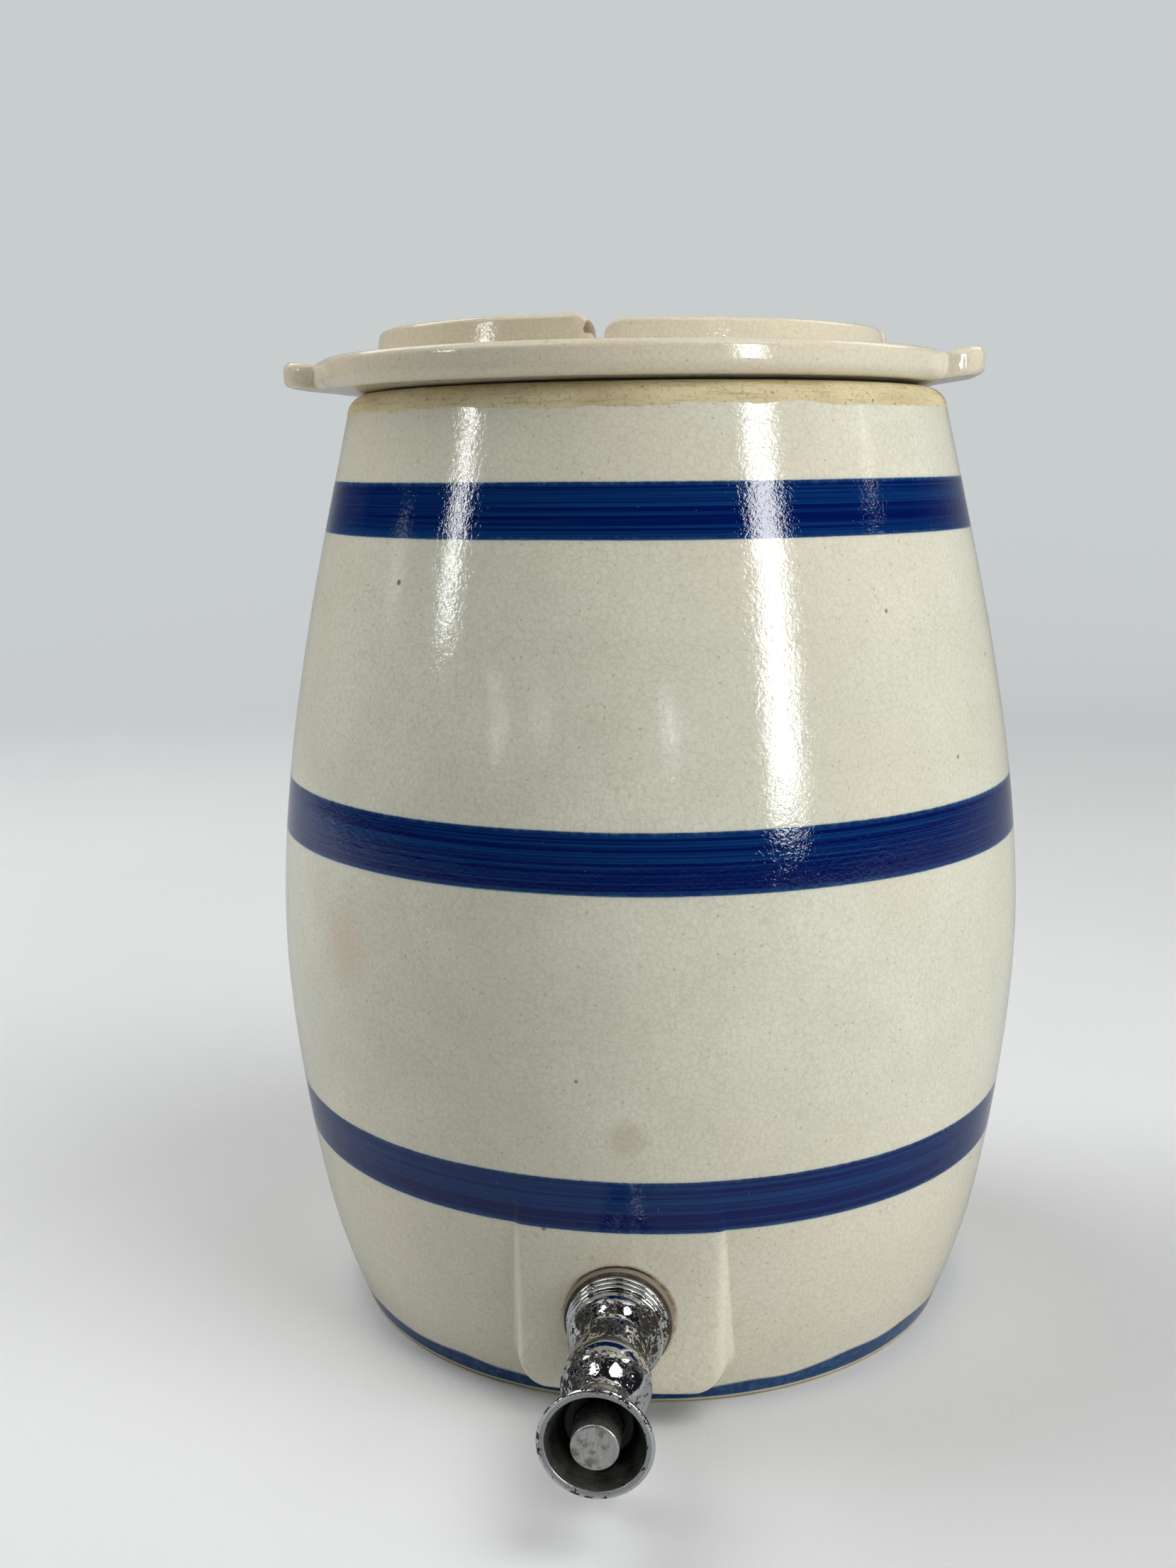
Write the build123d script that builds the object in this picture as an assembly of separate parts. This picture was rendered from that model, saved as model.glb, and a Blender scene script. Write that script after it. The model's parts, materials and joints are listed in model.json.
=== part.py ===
from build123d import *
import os
from math import cos, radians, sin, sqrt

# Stoneware water cooler: a barrel crock with a loose lid and a push-button tap.
# Frame: origin at the centre of the base, +Z up, the tap points to -Y. Millimetres.

# ------------------------------------------------------------------ crock
CROCK_HEIGHT = 296.0      # floor to rim top
FOOT_RADIUS = 98.9
HEEL_HEIGHT = 20.0        # the wall leaves the foot steeply up to here
HEEL_RADIUS = 106.2
FLANK_HEIGHT = 60.0       # lower flank, above the tap
FLANK_RADIUS = 114.9
BELLY_HEIGHT = 123.0
BELLY_RADIUS = 121.2
WAIST_HEIGHT = 165.0      # where the belly starts to draw in
WAIST_RADIUS = 119.1
SHOULDER_HEIGHT = 247.0
SHOULDER_RADIUS = 105.1
RIM_RADIUS = 95.3         # outside, where the rim begins to round over
RIM_ROUND = 7.0
RIM_INNER_ROUND = 3.0
WALL = 11.0
FLOOR = 12.0
FLOOR_CORNER = 10.0       # inside corner between floor and wall
FOOT_CHAMFER = 1.0

# Raised pad that carries the tap
PAD_PROUD = 15.9          # front of the pad, outside the foot's radius
PAD_CURVE = 150.0         # radius of its gently curved front
PAD_WIDTH = 60.0          # across the front
PAD_BOTTOM = 10.6         # lower edge of the front
PAD_TOP = 70.0            # it runs into the belly below this
PAD_CORNER = 9.0          # lower corners
PAD_DRAFT = 12.0          # slope of its sides, degrees
PAD_EDGE = 2.2            # rounding of its front edges
PAD_DEPTH = 22.0          # from the front back into the wall

# ------------------------------------------------------------------ tap
TAP_HEIGHT = 35.0         # axis above the floor
SEAT_DEPTH = 0.8          # flat ground into the pad under the gasket
SEAT_WALL = 10.4          # wall left between the outer and the inner seat
SHANK_RADIUS = 8.0
HOLE_CLEARANCE = 0.8      # shank in the crock's hole
SHANK_STUB = 2.4          # shank past the nut
INLET_RADIUS = 5.2

GASKET_RADIUS = 15.8      # outer rubber washer
GASKET_THICKNESS = 2.6
SEAT_MARGIN = 0.6         # flat around a washer
INNER_WASHER_RADIUS = 13.6
INNER_WASHER_THICKNESS = 2.4
BACKING_RADIUS = 13.0
BACKING_THICKNESS = 1.2
NUT_FLATS = 23.0
NUT_THICKNESS = 6.5
FIT_GAP = 0.1             # parts that slip over or into each other

COLLAR_RADIUS = 14.6
COLLAR_FLANGE = 2.4       # the three turned rings of the collar
RING_WIDTH = 1.6
RING_STEP = 0.35
GROOVE_WIDTH = 0.4
GROOVE_DEPTH = 0.5
BULB_RADIUS = 13.5        # first bulb
BULB_LENGTH = 18.2        # last ring to neck
NECK_RADIUS = 9.3
BARREL_RADIUS = 11.9      # second bulb, over the spout
BARREL_LENGTH = 21.0      # neck to front face
BARREL_RISE = 8.0         # neck to the barrel's full width
BARREL_ROUND = 2.0        # its front edge
FACE_RADIUS = 9.9         # where the body meets the bell cap

SPOUT_STATION = 8.5       # spout axis, in front of the neck
SPOUT_TOP_RADIUS = 7.8
SPOUT_RADIUS = 6.8
SPOUT_LIP_RADIUS = 7.3
SPOUT_LIP = 2.2
SPOUT_CLEARANCE = 13.0    # spout end above the floor
SPOUT_BORE = 4.3

VALVE_STATION = 1.5       # valve seat, in front of the neck
SEAT_BORE = 4.0
SEAT_LENGTH = 2.0
CHAMBER_RADIUS = 7.0      # outlet chamber over the spout
SOCKET_RADIUS = 8.4       # front socket, threaded for the bell cap
SOCKET_LENGTH = 8.0

BONNET_GASKET = 0.8
BELL_LENGTH = 14.9        # bell cap, gasket to rim
BELL_RADIUS = 15.0
BELL_LIP = 2.1            # flat of the rim
BELL_LIP_ROUND = 0.8
BELL_DEPTH = 9.6          # rim to cup floor
BELL_FLOOR_RADIUS = 8.8
GUIDE_LENGTH = 1.5        # stem guide at the inner end
PACKING_RADIUS = 3.5
PACKING_THICKNESS = 1.9
GLAND_THICKNESS = 1.4

# ------------------------------------------------------------------ push button and valve
BUTTON_RADIUS = 6.2
BUTTON_PROUD = 1.3        # face in front of the bell's rim
BUTTON_WALL = 0.9
BUTTON_HEAD = 2.3
BUTTON_BOSS_RADIUS = 2.7
BUTTON_BOSS_LENGTH = 4.5
BUTTON_EDGE = 0.6
BUTTON_TRAVEL = 5.5
BUTTON_STOP = 1.0         # left behind it when it is fully in
RUNNING_GAP = 0.1         # moving shafts in their bores
STEM_RADIUS = 1.6
STEM_SHOULDER_RADIUS = 2.8
STEM_SHOULDER_LENGTH = 1.4
VALVE_RADIUS = 4.7        # rubber disc
VALVE_THICKNESS = 2.4
PLATE_RADIUS = 4.8
PLATE_THICKNESS = 1.2
STEM_NUT_FLATS = 5.5
STEM_NUT_THICKNESS = 2.4
STEM_STUB = 0.8
SPRING_RADIUS = 4.5       # to the middle of the wire
WIRE_RADIUS = 0.4
SPRING_TURNS = 7
SPRING_GAP = 0.08         # coil ends to their seats

# ------------------------------------------------------------------ lid
LID_RADIUS = 99.8
LID_THICKNESS = 10.2
LID_TOP_ROUND = 2.4
LID_BOTTOM_ROUND = 4.2
LID_SHIFT_X = -4.8        # it lies a little off the crock's centre
LID_SHIFT_Y = 3.2
RING_OUTER_RADIUS = 81.5
RING_THICKNESS = 9.0
RING_HEIGHT = 9.1
RING_DRAFT = 1.2          # the ring is this much narrower at its top, each side
RING_TOP_ROUND = 1.6
GAP_WIDTH = 3.0
GAP_FLARE = 6.0           # rounding of the ring where it stops at a gap
GAP_ANGLES = (-91.5, -8.0, 88.0, 180.0)
EAR_REACH = 110.4         # ear tip from the lid's centre
EAR_WIDTH = 54.0
EAR_CORNER = 12.0
EAR_ROOT_DROP = 1.6       # ear top below the lid's top where it leaves the disc
EAR_FOOT = 0.4            # its underside at the disc, above the disc's
EAR_FOOT_INSET = 6.0      # where that underside starts to lift, inside the disc's edge
EAR_TOP_INSET = 2.0       # where its top starts to lift, inside the disc's edge
EAR_UNDER_RISE = 2.6      # its underside lifts this much towards the tip
EAR_TOP_RISE = 0.8        # ear tip above the lid's top
EAR_EDGE = 2.4


# Stations along the tap, measured outwards from the crock's axis
pad_front = FOOT_RADIUS + PAD_PROUD
pad_seat = pad_front - SEAT_DEPTH
inner_seat = pad_seat - SEAT_WALL
collar_back = pad_seat + GASKET_THICKNESS
backing_end = inner_seat - INNER_WASHER_THICKNESS
nut_start = backing_end - BACKING_THICKNESS
shank_end = nut_start - NUT_THICKNESS - SHANK_STUB
rings_end = collar_back + COLLAR_FLANGE + 2 * RING_WIDTH + 3 * GROOVE_WIDTH
neck = rings_end + BULB_LENGTH
valve_seat = neck + VALVE_STATION
body_end = neck + BARREL_LENGTH
socket_start = body_end - SOCKET_LENGTH
spout_at = neck + SPOUT_STATION
bell_start = body_end + BONNET_GASKET
bell_rim = bell_start + BELL_LENGTH
cup_floor = bell_rim - BELL_DEPTH
plug_start = socket_start + FIT_GAP
packing_start = plug_start + GUIDE_LENGTH
gland_start = packing_start + PACKING_THICKNESS
pocket_floor = gland_start + GLAND_THICKNESS
button_face = bell_rim + BUTTON_PROUD
button_back = pocket_floor + BUTTON_TRAVEL + BUTTON_STOP
button_ceiling = button_face - BUTTON_HEAD
pocket_radius = BUTTON_RADIUS + RUNNING_GAP
guide_radius = STEM_RADIUS + RUNNING_GAP
hole_radius = SHANK_RADIUS + HOLE_CLEARANCE

tap_frame = Pos(0, 0, TAP_HEIGHT) * Rot(0, 0, -90)
lid_frame = Pos(LID_SHIFT_X, LID_SHIFT_Y, CROCK_HEIGHT)


def turned(*outline):
    """Solid turned about the tap's axis from (station, radius) corners."""
    face = make_face(Polyline(*outline, close=True))
    return revolve(face, Axis.X)


def sleeve(start, end, outer, inner=0.0):
    """Ring between two stations, or a plain plug when it has no bore."""
    return turned((start, inner), (start, outer), (end, outer), (end, inner))


def hexagon_nut(start, thickness, flats, bore):
    corner = flats / sqrt(3)
    blank = extrude(Plane.YZ.offset(start) * RegularPolygon(corner, 6), thickness)
    bevel = corner - flats / 2
    end = start + thickness
    limit = turned((start, 0), (start, flats / 2), (start + bevel, corner),
                   (end - bevel, corner), (end, flats / 2), (end, 0))
    return blank & limit - sleeve(start - 1, end + 1, bore)


# ------------------------------------------------------------------ crock
def barrel_line(inset, bottom, top):
    """Wall curve of the barrel in the XZ plane, set in from the outside by inset."""
    stations = ((HEEL_RADIUS, HEEL_HEIGHT), (FLANK_RADIUS, FLANK_HEIGHT),
                (BELLY_RADIUS, BELLY_HEIGHT), (WAIST_RADIUS, WAIST_HEIGHT),
                (SHOULDER_RADIUS, SHOULDER_HEIGHT))
    points = [(FOOT_RADIUS - inset, bottom)]
    points += [(radius - inset, height) for radius, height in stations]
    points += [(RIM_RADIUS - inset, top)]
    return Spline(*[(x, 0, z) for x, z in points])


def barrel_outside():
    rim_start = CROCK_HEIGHT - RIM_ROUND
    wall = barrel_line(0, 0, rim_start)
    rim_turn = RIM_RADIUS - RIM_ROUND
    middle = RIM_ROUND * sin(radians(45))
    rim = ThreePointArc((RIM_RADIUS, 0, rim_start),
                        (rim_turn + middle, 0, rim_start + middle),
                        (rim_turn, 0, CROCK_HEIGHT))
    closing = Polyline((rim_turn, 0, CROCK_HEIGHT), (0, 0, CROCK_HEIGHT), (0, 0, 0),
                       (FOOT_RADIUS, 0, 0))
    barrel = revolve(make_face([wall, rim, closing]), Axis.Z)
    return chamfer(barrel.edges().sort_by(Axis.Z)[0], FOOT_CHAMFER)


def cavity():
    rim_inner = RIM_RADIUS - WALL
    wall = barrel_line(WALL, FLOOR, CROCK_HEIGHT)
    closing = Polyline((rim_inner, 0, CROCK_HEIGHT), (0, 0, CROCK_HEIGHT), (0, 0, FLOOR),
                       (FOOT_RADIUS - WALL, 0, FLOOR))
    hollow = revolve(make_face([wall, closing]), Axis.Z)
    corner = hollow.edges().filter_by(GeomType.CIRCLE).sort_by(Axis.Z)[0]
    return fillet(corner, FLOOR_CORNER)


def tap_pad():
    """Upright panel with a gently curved front and sloping, rounded sides."""
    height = PAD_TOP - PAD_BOTTOM
    outline = RectangleRounded(PAD_WIDTH, height, PAD_CORNER)
    front_plane = Plane((0, -pad_front, PAD_BOTTOM + height / 2), x_dir=(1, 0, 0),
                        z_dir=(0, 1, 0))
    block = extrude(front_plane * outline, PAD_DEPTH, taper=-PAD_DRAFT)
    drum = Pos(0, PAD_CURVE - pad_front, 0) * Cylinder(PAD_CURVE, 3 * PAD_TOP)
    panel = block & drum
    front_edges = panel.faces().sort_by(Axis.Y)[0].edges()
    return fillet(front_edges, PAD_EDGE)


def crock():
    shell = barrel_outside() + tap_pad() - cavity()
    inner_lip = shell.edges().filter_by(GeomType.CIRCLE).filter_by(
        lambda edge: abs(edge.radius - RIM_RADIUS + WALL) < 0.01).sort_by(Axis.Z)[-1]
    shell = fillet(inner_lip, RIM_INNER_ROUND)
    seat_radius = GASKET_RADIUS + SEAT_MARGIN
    inner_radius = INNER_WASHER_RADIUS + SEAT_MARGIN
    reach = PAD_DEPTH + WALL
    shell -= tap_frame * sleeve(pad_seat, pad_seat + reach, seat_radius)
    shell -= tap_frame * sleeve(inner_seat - reach, inner_seat, inner_radius)
    shell -= tap_frame * sleeve(inner_seat - reach, pad_seat + reach, hole_radius)
    return shell


# ------------------------------------------------------------------ tap, fixed pieces
def tap_outline():
    """Turned outside of the tap body, from the shank's end to the front face."""
    corners = [(shank_end, 0), (shank_end, SHANK_RADIUS - 0.8), (shank_end + 0.8, SHANK_RADIUS),
               (collar_back, SHANK_RADIUS), (collar_back, COLLAR_RADIUS)]
    station, radius = collar_back, COLLAR_RADIUS
    for width in (COLLAR_FLANGE, RING_WIDTH, RING_WIDTH):
        station += width
        corners += [(station, radius), (station, radius - RING_STEP - GROOVE_DEPTH)]
        station += GROOVE_WIDTH
        radius -= RING_STEP
        corners += [(station, radius - GROOVE_DEPTH), (station, radius)]
    corners[-1] = (rings_end, BULB_RADIUS - GROOVE_WIDTH)
    rings = Polyline(*corners)
    bulb = Spline((rings_end, BULB_RADIUS - GROOVE_WIDTH),
                  (rings_end + 0.16 * BULB_LENGTH, BULB_RADIUS),
                  (rings_end + 0.5 * BULB_LENGTH, 0.45 * NECK_RADIUS + 0.55 * BULB_RADIUS + 0.3),
                  (neck, NECK_RADIUS), tangents=((1, 0.6), (1, 0)))
    full_width = neck + BARREL_RISE
    shoulder = body_end - BARREL_ROUND
    rise = Spline((neck, NECK_RADIUS), (full_width, BARREL_RADIUS), tangents=((1, 0), (1, 0)))
    front = Spline((full_width, BARREL_RADIUS), (shoulder, BARREL_RADIUS - 0.1),
                   (body_end, FACE_RADIUS), tangents=((1, 0), (0.2, -1)))
    closing = Polyline((body_end, FACE_RADIUS), (body_end, 0), (shank_end, 0))
    return make_face([rings, bulb, rise, front, closing])


def spout_blank():
    """Tapered outlet below the second bulb, with a small rolled lip."""
    end = SPOUT_CLEARANCE - TAP_HEIGHT
    lip_top = end + SPOUT_LIP
    sides = Polyline((0, 0, end), (SPOUT_LIP_RADIUS - 0.5, 0, end),
                     (SPOUT_LIP_RADIUS, 0, end + 0.5), (SPOUT_LIP_RADIUS, 0, lip_top - 0.5),
                     (SPOUT_RADIUS, 0, lip_top), (SPOUT_TOP_RADIUS, 0, -BARREL_RADIUS / 2),
                     (0, 0, -BARREL_RADIUS / 2), close=True)
    return Pos(spout_at, 0, 0) * revolve(make_face(sides), Axis.Z)


def tap_body():
    body = revolve(tap_outline(), Axis.X) + spout_blank()
    seat_end = valve_seat + SEAT_LENGTH
    body -= sleeve(shank_end - 1, valve_seat, INLET_RADIUS)
    body -= sleeve(valve_seat - 1, seat_end + 1, SEAT_BORE)
    body -= sleeve(seat_end, socket_start + 1, CHAMBER_RADIUS)
    body -= sleeve(socket_start, body_end + 1, SOCKET_RADIUS)
    drop = TAP_HEIGHT - SPOUT_CLEARANCE
    body -= Pos(spout_at, 0, -drop - 1) * Cylinder(
        SPOUT_BORE, drop + 1, align=(Align.CENTER, Align.CENTER, Align.MIN))
    return body


def bell_cap():
    """Screwed front cap: thread plug, stem guide, button pocket and flared bell."""
    lip_inner = BELL_RADIUS - BELL_LIP
    spread = BELL_RADIUS - FACE_RADIUS
    flare = Spline((bell_start, FACE_RADIUS),
                   (bell_start + 0.4 * BELL_LENGTH, FACE_RADIUS + 0.1 * spread),
                   (bell_start + 0.74 * BELL_LENGTH, FACE_RADIUS + 0.42 * spread),
                   (bell_rim - BELL_LIP_ROUND, BELL_RADIUS))
    lip = Polyline((bell_rim - BELL_LIP_ROUND, BELL_RADIUS),
                   (bell_rim - 0.3 * BELL_LIP_ROUND, BELL_RADIUS - 0.1),
                   (bell_rim, BELL_RADIUS - BELL_LIP_ROUND), (bell_rim, lip_inner))
    cup = Spline((bell_rim, lip_inner), (bell_rim - 0.5 * BELL_DEPTH, lip_inner - 1.6),
                 (cup_floor, BELL_FLOOR_RADIUS))
    plug = SOCKET_RADIUS - FIT_GAP
    bores = Polyline((cup_floor, BELL_FLOOR_RADIUS), (cup_floor, pocket_radius),
                     (pocket_floor, pocket_radius), (pocket_floor, PACKING_RADIUS + FIT_GAP),
                     (packing_start, PACKING_RADIUS + FIT_GAP), (packing_start, guide_radius),
                     (plug_start, guide_radius), (plug_start, plug),
                     (bell_start, plug), (bell_start, FACE_RADIUS))
    return revolve(make_face([flare, lip, cup, bores]), Axis.X)


# ------------------------------------------------------------------ push button and valve
def push_button():
    inside = BUTTON_RADIUS - BUTTON_WALL
    boss_end = button_ceiling - BUTTON_BOSS_LENGTH
    return turned((button_back, inside), (button_back, BUTTON_RADIUS),
                  (button_face - BUTTON_EDGE, BUTTON_RADIUS),
                  (button_face, BUTTON_RADIUS - BUTTON_EDGE), (button_face, 0),
                  (button_ceiling, 0), (button_ceiling, STEM_RADIUS), (boss_end, STEM_RADIUS),
                  (boss_end, BUTTON_BOSS_RADIUS), (button_ceiling, BUTTON_BOSS_RADIUS),
                  (button_ceiling, inside))


valve_back = valve_seat - VALVE_THICKNESS
plate_back = valve_back - PLATE_THICKNESS
stem_nut_back = plate_back - STEM_NUT_THICKNESS
stem_end = stem_nut_back - STEM_STUB


def valve_stem():
    shoulder = valve_seat + STEM_SHOULDER_LENGTH
    return turned((stem_end, 0), (stem_end, STEM_RADIUS - 0.3), (stem_end + 0.3, STEM_RADIUS),
                  (valve_seat, STEM_RADIUS), (valve_seat, STEM_SHOULDER_RADIUS),
                  (shoulder, STEM_SHOULDER_RADIUS), (shoulder, STEM_RADIUS),
                  (button_ceiling, STEM_RADIUS), (button_ceiling, 0))


def return_spring():
    start = pocket_floor + WIRE_RADIUS + SPRING_GAP
    end = button_ceiling - WIRE_RADIUS - SPRING_GAP
    length = end - start
    coil = Helix(length / SPRING_TURNS, length, SPRING_RADIUS, center=(start, 0, 0),
                 direction=(1, 0, 0))
    wire = Plane(origin=coil @ 0, z_dir=coil % 0) * Circle(WIRE_RADIUS)
    return sweep(wire, path=coil, is_frenet=True)


# ------------------------------------------------------------------ lid
def lid_ring():
    """Raised ring in four hand-cut arcs, rounded down at each gap."""
    outer, height = RING_OUTER_RADIUS, RING_HEIGHT
    inner = outer - RING_THICKNESS
    section = Polyline((inner, 0, -1), (outer, 0, -1), (outer - RING_DRAFT, 0, height),
                       (inner + RING_DRAFT, 0, height), close=True)
    ring = revolve(make_face(section), Axis.Z)
    ring = fillet(ring.edges().group_by(Axis.Z)[-1], RING_TOP_ROUND)
    half = GAP_WIDTH / 2
    spread = half + GAP_FLARE
    rise = height - GAP_FLARE
    bend = GAP_FLARE * (1 - cos(radians(45)))
    top = height + 1
    left = ThreePointArc((-spread, height), (-half - bend, height - bend), (-half, rise))
    right = ThreePointArc((half, rise), (half + bend, height - bend), (spread, height))
    foot = Polyline((-half, rise), (-half, -2), (half, -2), (half, rise))
    head = Polyline((spread, height), (spread, top), (-spread, top), (-spread, height))
    notch = Plane.XZ * make_face([left, foot, right, head])
    cutter = extrude(notch, 2 * RING_THICKNESS, both=True)
    for angle in GAP_ANGLES:
        middle = outer - RING_THICKNESS / 2
        spot = Pos(middle * cos(radians(angle)), middle * sin(radians(angle)), 0)
        ring -= spot * Rot(0, 0, angle + 90) * cutter
    return Pos(0, 0, LID_THICKNESS) * ring


def lid_ear():
    """Thick lug that leaves the disc a little low and lifts towards its tip."""
    root = LID_RADIUS - 2 * EAR_CORNER
    low = LID_THICKNESS - EAR_ROOT_DROP
    high = LID_THICKNESS + EAR_TOP_RISE
    side = Polyline((root, 0, EAR_FOOT), (LID_RADIUS - EAR_FOOT_INSET, 0, EAR_FOOT),
                    (EAR_REACH, 0, EAR_UNDER_RISE), (EAR_REACH, 0, high),
                    (LID_RADIUS - EAR_TOP_INSET, 0, low), (root, 0, low), close=True)
    lug = extrude(make_face(side), EAR_WIDTH / 2, both=True)
    lug = fillet(lug.edges().filter_by(Axis.Z).group_by(Axis.X)[-1], EAR_CORNER)
    walls = [face for face in lug.faces()
             if face.center().X > root + 0.1 and abs(face.normal_at().Z) < 0.1]
    outline = [edge for face in walls for edge in face.edges()
               if abs(edge.tangent_at(0.5).Z) < 0.9]
    return fillet(outline, EAR_EDGE)


def lid():
    disc = Cylinder(LID_RADIUS, LID_THICKNESS, align=(Align.CENTER, Align.CENTER, Align.MIN))
    disc = fillet(disc.edges().sort_by(Axis.Z)[-1], LID_TOP_ROUND)
    disc = fillet(disc.edges().sort_by(Axis.Z)[0], LID_BOTTOM_ROUND)
    ear = lid_ear()
    return disc + lid_ring() + ear + Rot(0, 0, 180) * ear


def model():
    """Every piece by its node name, in place."""
    tap = {
        "tap_body": tap_body(),
        "outer_gasket": sleeve(pad_seat, collar_back, GASKET_RADIUS, SHANK_RADIUS + FIT_GAP),
        "inner_washer": sleeve(backing_end, inner_seat, INNER_WASHER_RADIUS,
                               SHANK_RADIUS + FIT_GAP),
        "backing_washer": sleeve(nut_start, backing_end, BACKING_RADIUS, SHANK_RADIUS + FIT_GAP),
        "shank_nut": hexagon_nut(nut_start - NUT_THICKNESS, NUT_THICKNESS, NUT_FLATS,
                                 SHANK_RADIUS + FIT_GAP),
        "bell_cap": bell_cap(),
        "bonnet_gasket": sleeve(body_end, bell_start, FACE_RADIUS, SOCKET_RADIUS),
        "stem_packing": sleeve(packing_start, gland_start, PACKING_RADIUS,
                               STEM_RADIUS + RUNNING_GAP / 2),
        "packing_gland": sleeve(gland_start, pocket_floor, PACKING_RADIUS, guide_radius),
        "push_button": push_button(),
        "valve_stem": valve_stem(),
        "valve_washer": sleeve(valve_back, valve_seat, VALVE_RADIUS, STEM_RADIUS),
        "valve_plate": sleeve(plate_back, valve_back, PLATE_RADIUS, STEM_RADIUS),
        "stem_nut": hexagon_nut(stem_nut_back, STEM_NUT_THICKNESS, STEM_NUT_FLATS, STEM_RADIUS),
        "return_spring": return_spring(),
    }
    pieces = {name: tap_frame * piece for name, piece in tap.items()}
    pieces["crock"] = crock()
    pieces["lid"] = lid_frame * lid()
    return pieces


os.makedirs("parts", exist_ok=True)
for name, piece in model().items():
    export_step(piece, "parts/" + name + ".step")
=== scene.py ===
import json
from math import atan2, cos, degrees, hypot, pi, radians, sin, sqrt, tan

import bmesh
import bpy
import numpy as np
from bpy.props import FloatProperty, FloatVectorProperty, IntProperty, PointerProperty
from bpy.types import Operator, Panel, PropertyGroup
from mathutils import Matrix, Quaternion, Vector, noise


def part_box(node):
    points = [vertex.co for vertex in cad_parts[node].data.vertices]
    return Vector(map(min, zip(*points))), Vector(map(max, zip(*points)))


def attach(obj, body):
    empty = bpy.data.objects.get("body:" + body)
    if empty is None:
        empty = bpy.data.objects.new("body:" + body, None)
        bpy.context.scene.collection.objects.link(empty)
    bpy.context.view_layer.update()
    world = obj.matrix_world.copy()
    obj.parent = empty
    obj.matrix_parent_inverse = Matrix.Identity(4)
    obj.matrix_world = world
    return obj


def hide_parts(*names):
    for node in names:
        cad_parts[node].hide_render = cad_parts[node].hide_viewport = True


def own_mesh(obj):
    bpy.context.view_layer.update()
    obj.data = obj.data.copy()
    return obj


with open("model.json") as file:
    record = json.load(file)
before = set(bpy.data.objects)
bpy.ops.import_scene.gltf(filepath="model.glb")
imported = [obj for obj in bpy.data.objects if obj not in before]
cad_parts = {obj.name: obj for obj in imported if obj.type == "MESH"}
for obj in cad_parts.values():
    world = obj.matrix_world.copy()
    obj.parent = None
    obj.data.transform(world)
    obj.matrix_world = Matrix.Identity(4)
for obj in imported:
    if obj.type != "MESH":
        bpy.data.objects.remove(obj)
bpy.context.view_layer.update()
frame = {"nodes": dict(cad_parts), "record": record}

bl_info = {
    "name": "Stoneware water cooler",
    "version": (1, 0, 0),
    "blender": (4, 5, 0),
    "location": "View3D > Sidebar > Cooler",
    "description": "Dresses a stoneware water cooler: glazed crock, lid and chromed tap",
    "category": "Object",
}

MM = 0.001


def cad(node):
    """Lowest and highest corner of a CAD node in millimetres."""
    low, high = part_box(node)
    return low / MM, high / MM


# ------------------------------------------------------------------ settings
def length(name, description, default):
    return FloatProperty(name=name, description=description, default=default * MM,
                         min=0.0, precision=5, unit="LENGTH")


def colour(name, description, default):
    return FloatVectorProperty(name=name, description=description, default=default,
                               size=3, min=0.0, max=1.0, subtype="COLOR")


def share(name, description, default):
    return FloatProperty(name=name, description=description, default=default,
                         min=0.0, max=1.0, subtype="FACTOR")


class CrockSettings(PropertyGroup):
    """Sizes of the crock and of its raised pad."""
    wall: length("Wall", "Thickness of the thrown wall", 11.0)
    floor: length("Floor", "Thickness of the floor", 12.0)
    rim_round: length("Rim rounding", "Rounding of the rim's outer edge", 7.0)
    pad_width: length("Pad width", "Width of the raised pad behind the tap", 60.0)
    pad_bottom: length("Pad bottom", "Lower edge of the pad above the table", 10.6)
    pad_front: length("Pad front", "Front of the pad from the crock's axis", 114.8)
    pad_corner: length("Pad corner", "Rounding of the pad's lower corners", 9.0)
    wobble: length("Wobble", "How far the thrown wall wanders inwards", 0.28)


class LidSettings(PropertyGroup):
    """Sizes of the lid."""
    thickness: length("Thickness", "Thickness of the disc", 10.2)
    radius: length("Radius", "Radius of the disc", 99.8)
    ring_radius: length("Ring radius", "Outside radius of the raised ring", 81.5)
    ring_width: length("Ring width", "Width of the raised ring", 9.0)
    gap: length("Gap", "Width of the gaps between the ring's arcs", 3.0)
    gap_flare: length("Gap flare", "Rounding of an arc's end", 6.0)
    ear_width: length("Ear width", "Width of an ear", 54.0)


class TapSettings(PropertyGroup):
    """Sizes of the tap."""
    collar_radius: length("Collar radius", "Radius of the collar's flange", 14.6)
    bulb_radius: length("Bulb radius", "Radius of the first bulb", 13.5)
    neck_radius: length("Neck radius", "Radius between the two bulbs", 9.3)
    barrel_radius: length("Barrel radius", "Radius of the second bulb", 12.2)
    spout_radius: length("Spout radius", "Radius of the spout", 6.8)
    button_radius: length("Button radius", "Radius of the push button", 6.2)
    turns: IntProperty(name="Spring turns", description="Turns of the return spring",
                       default=7, min=2, max=20)


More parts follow.
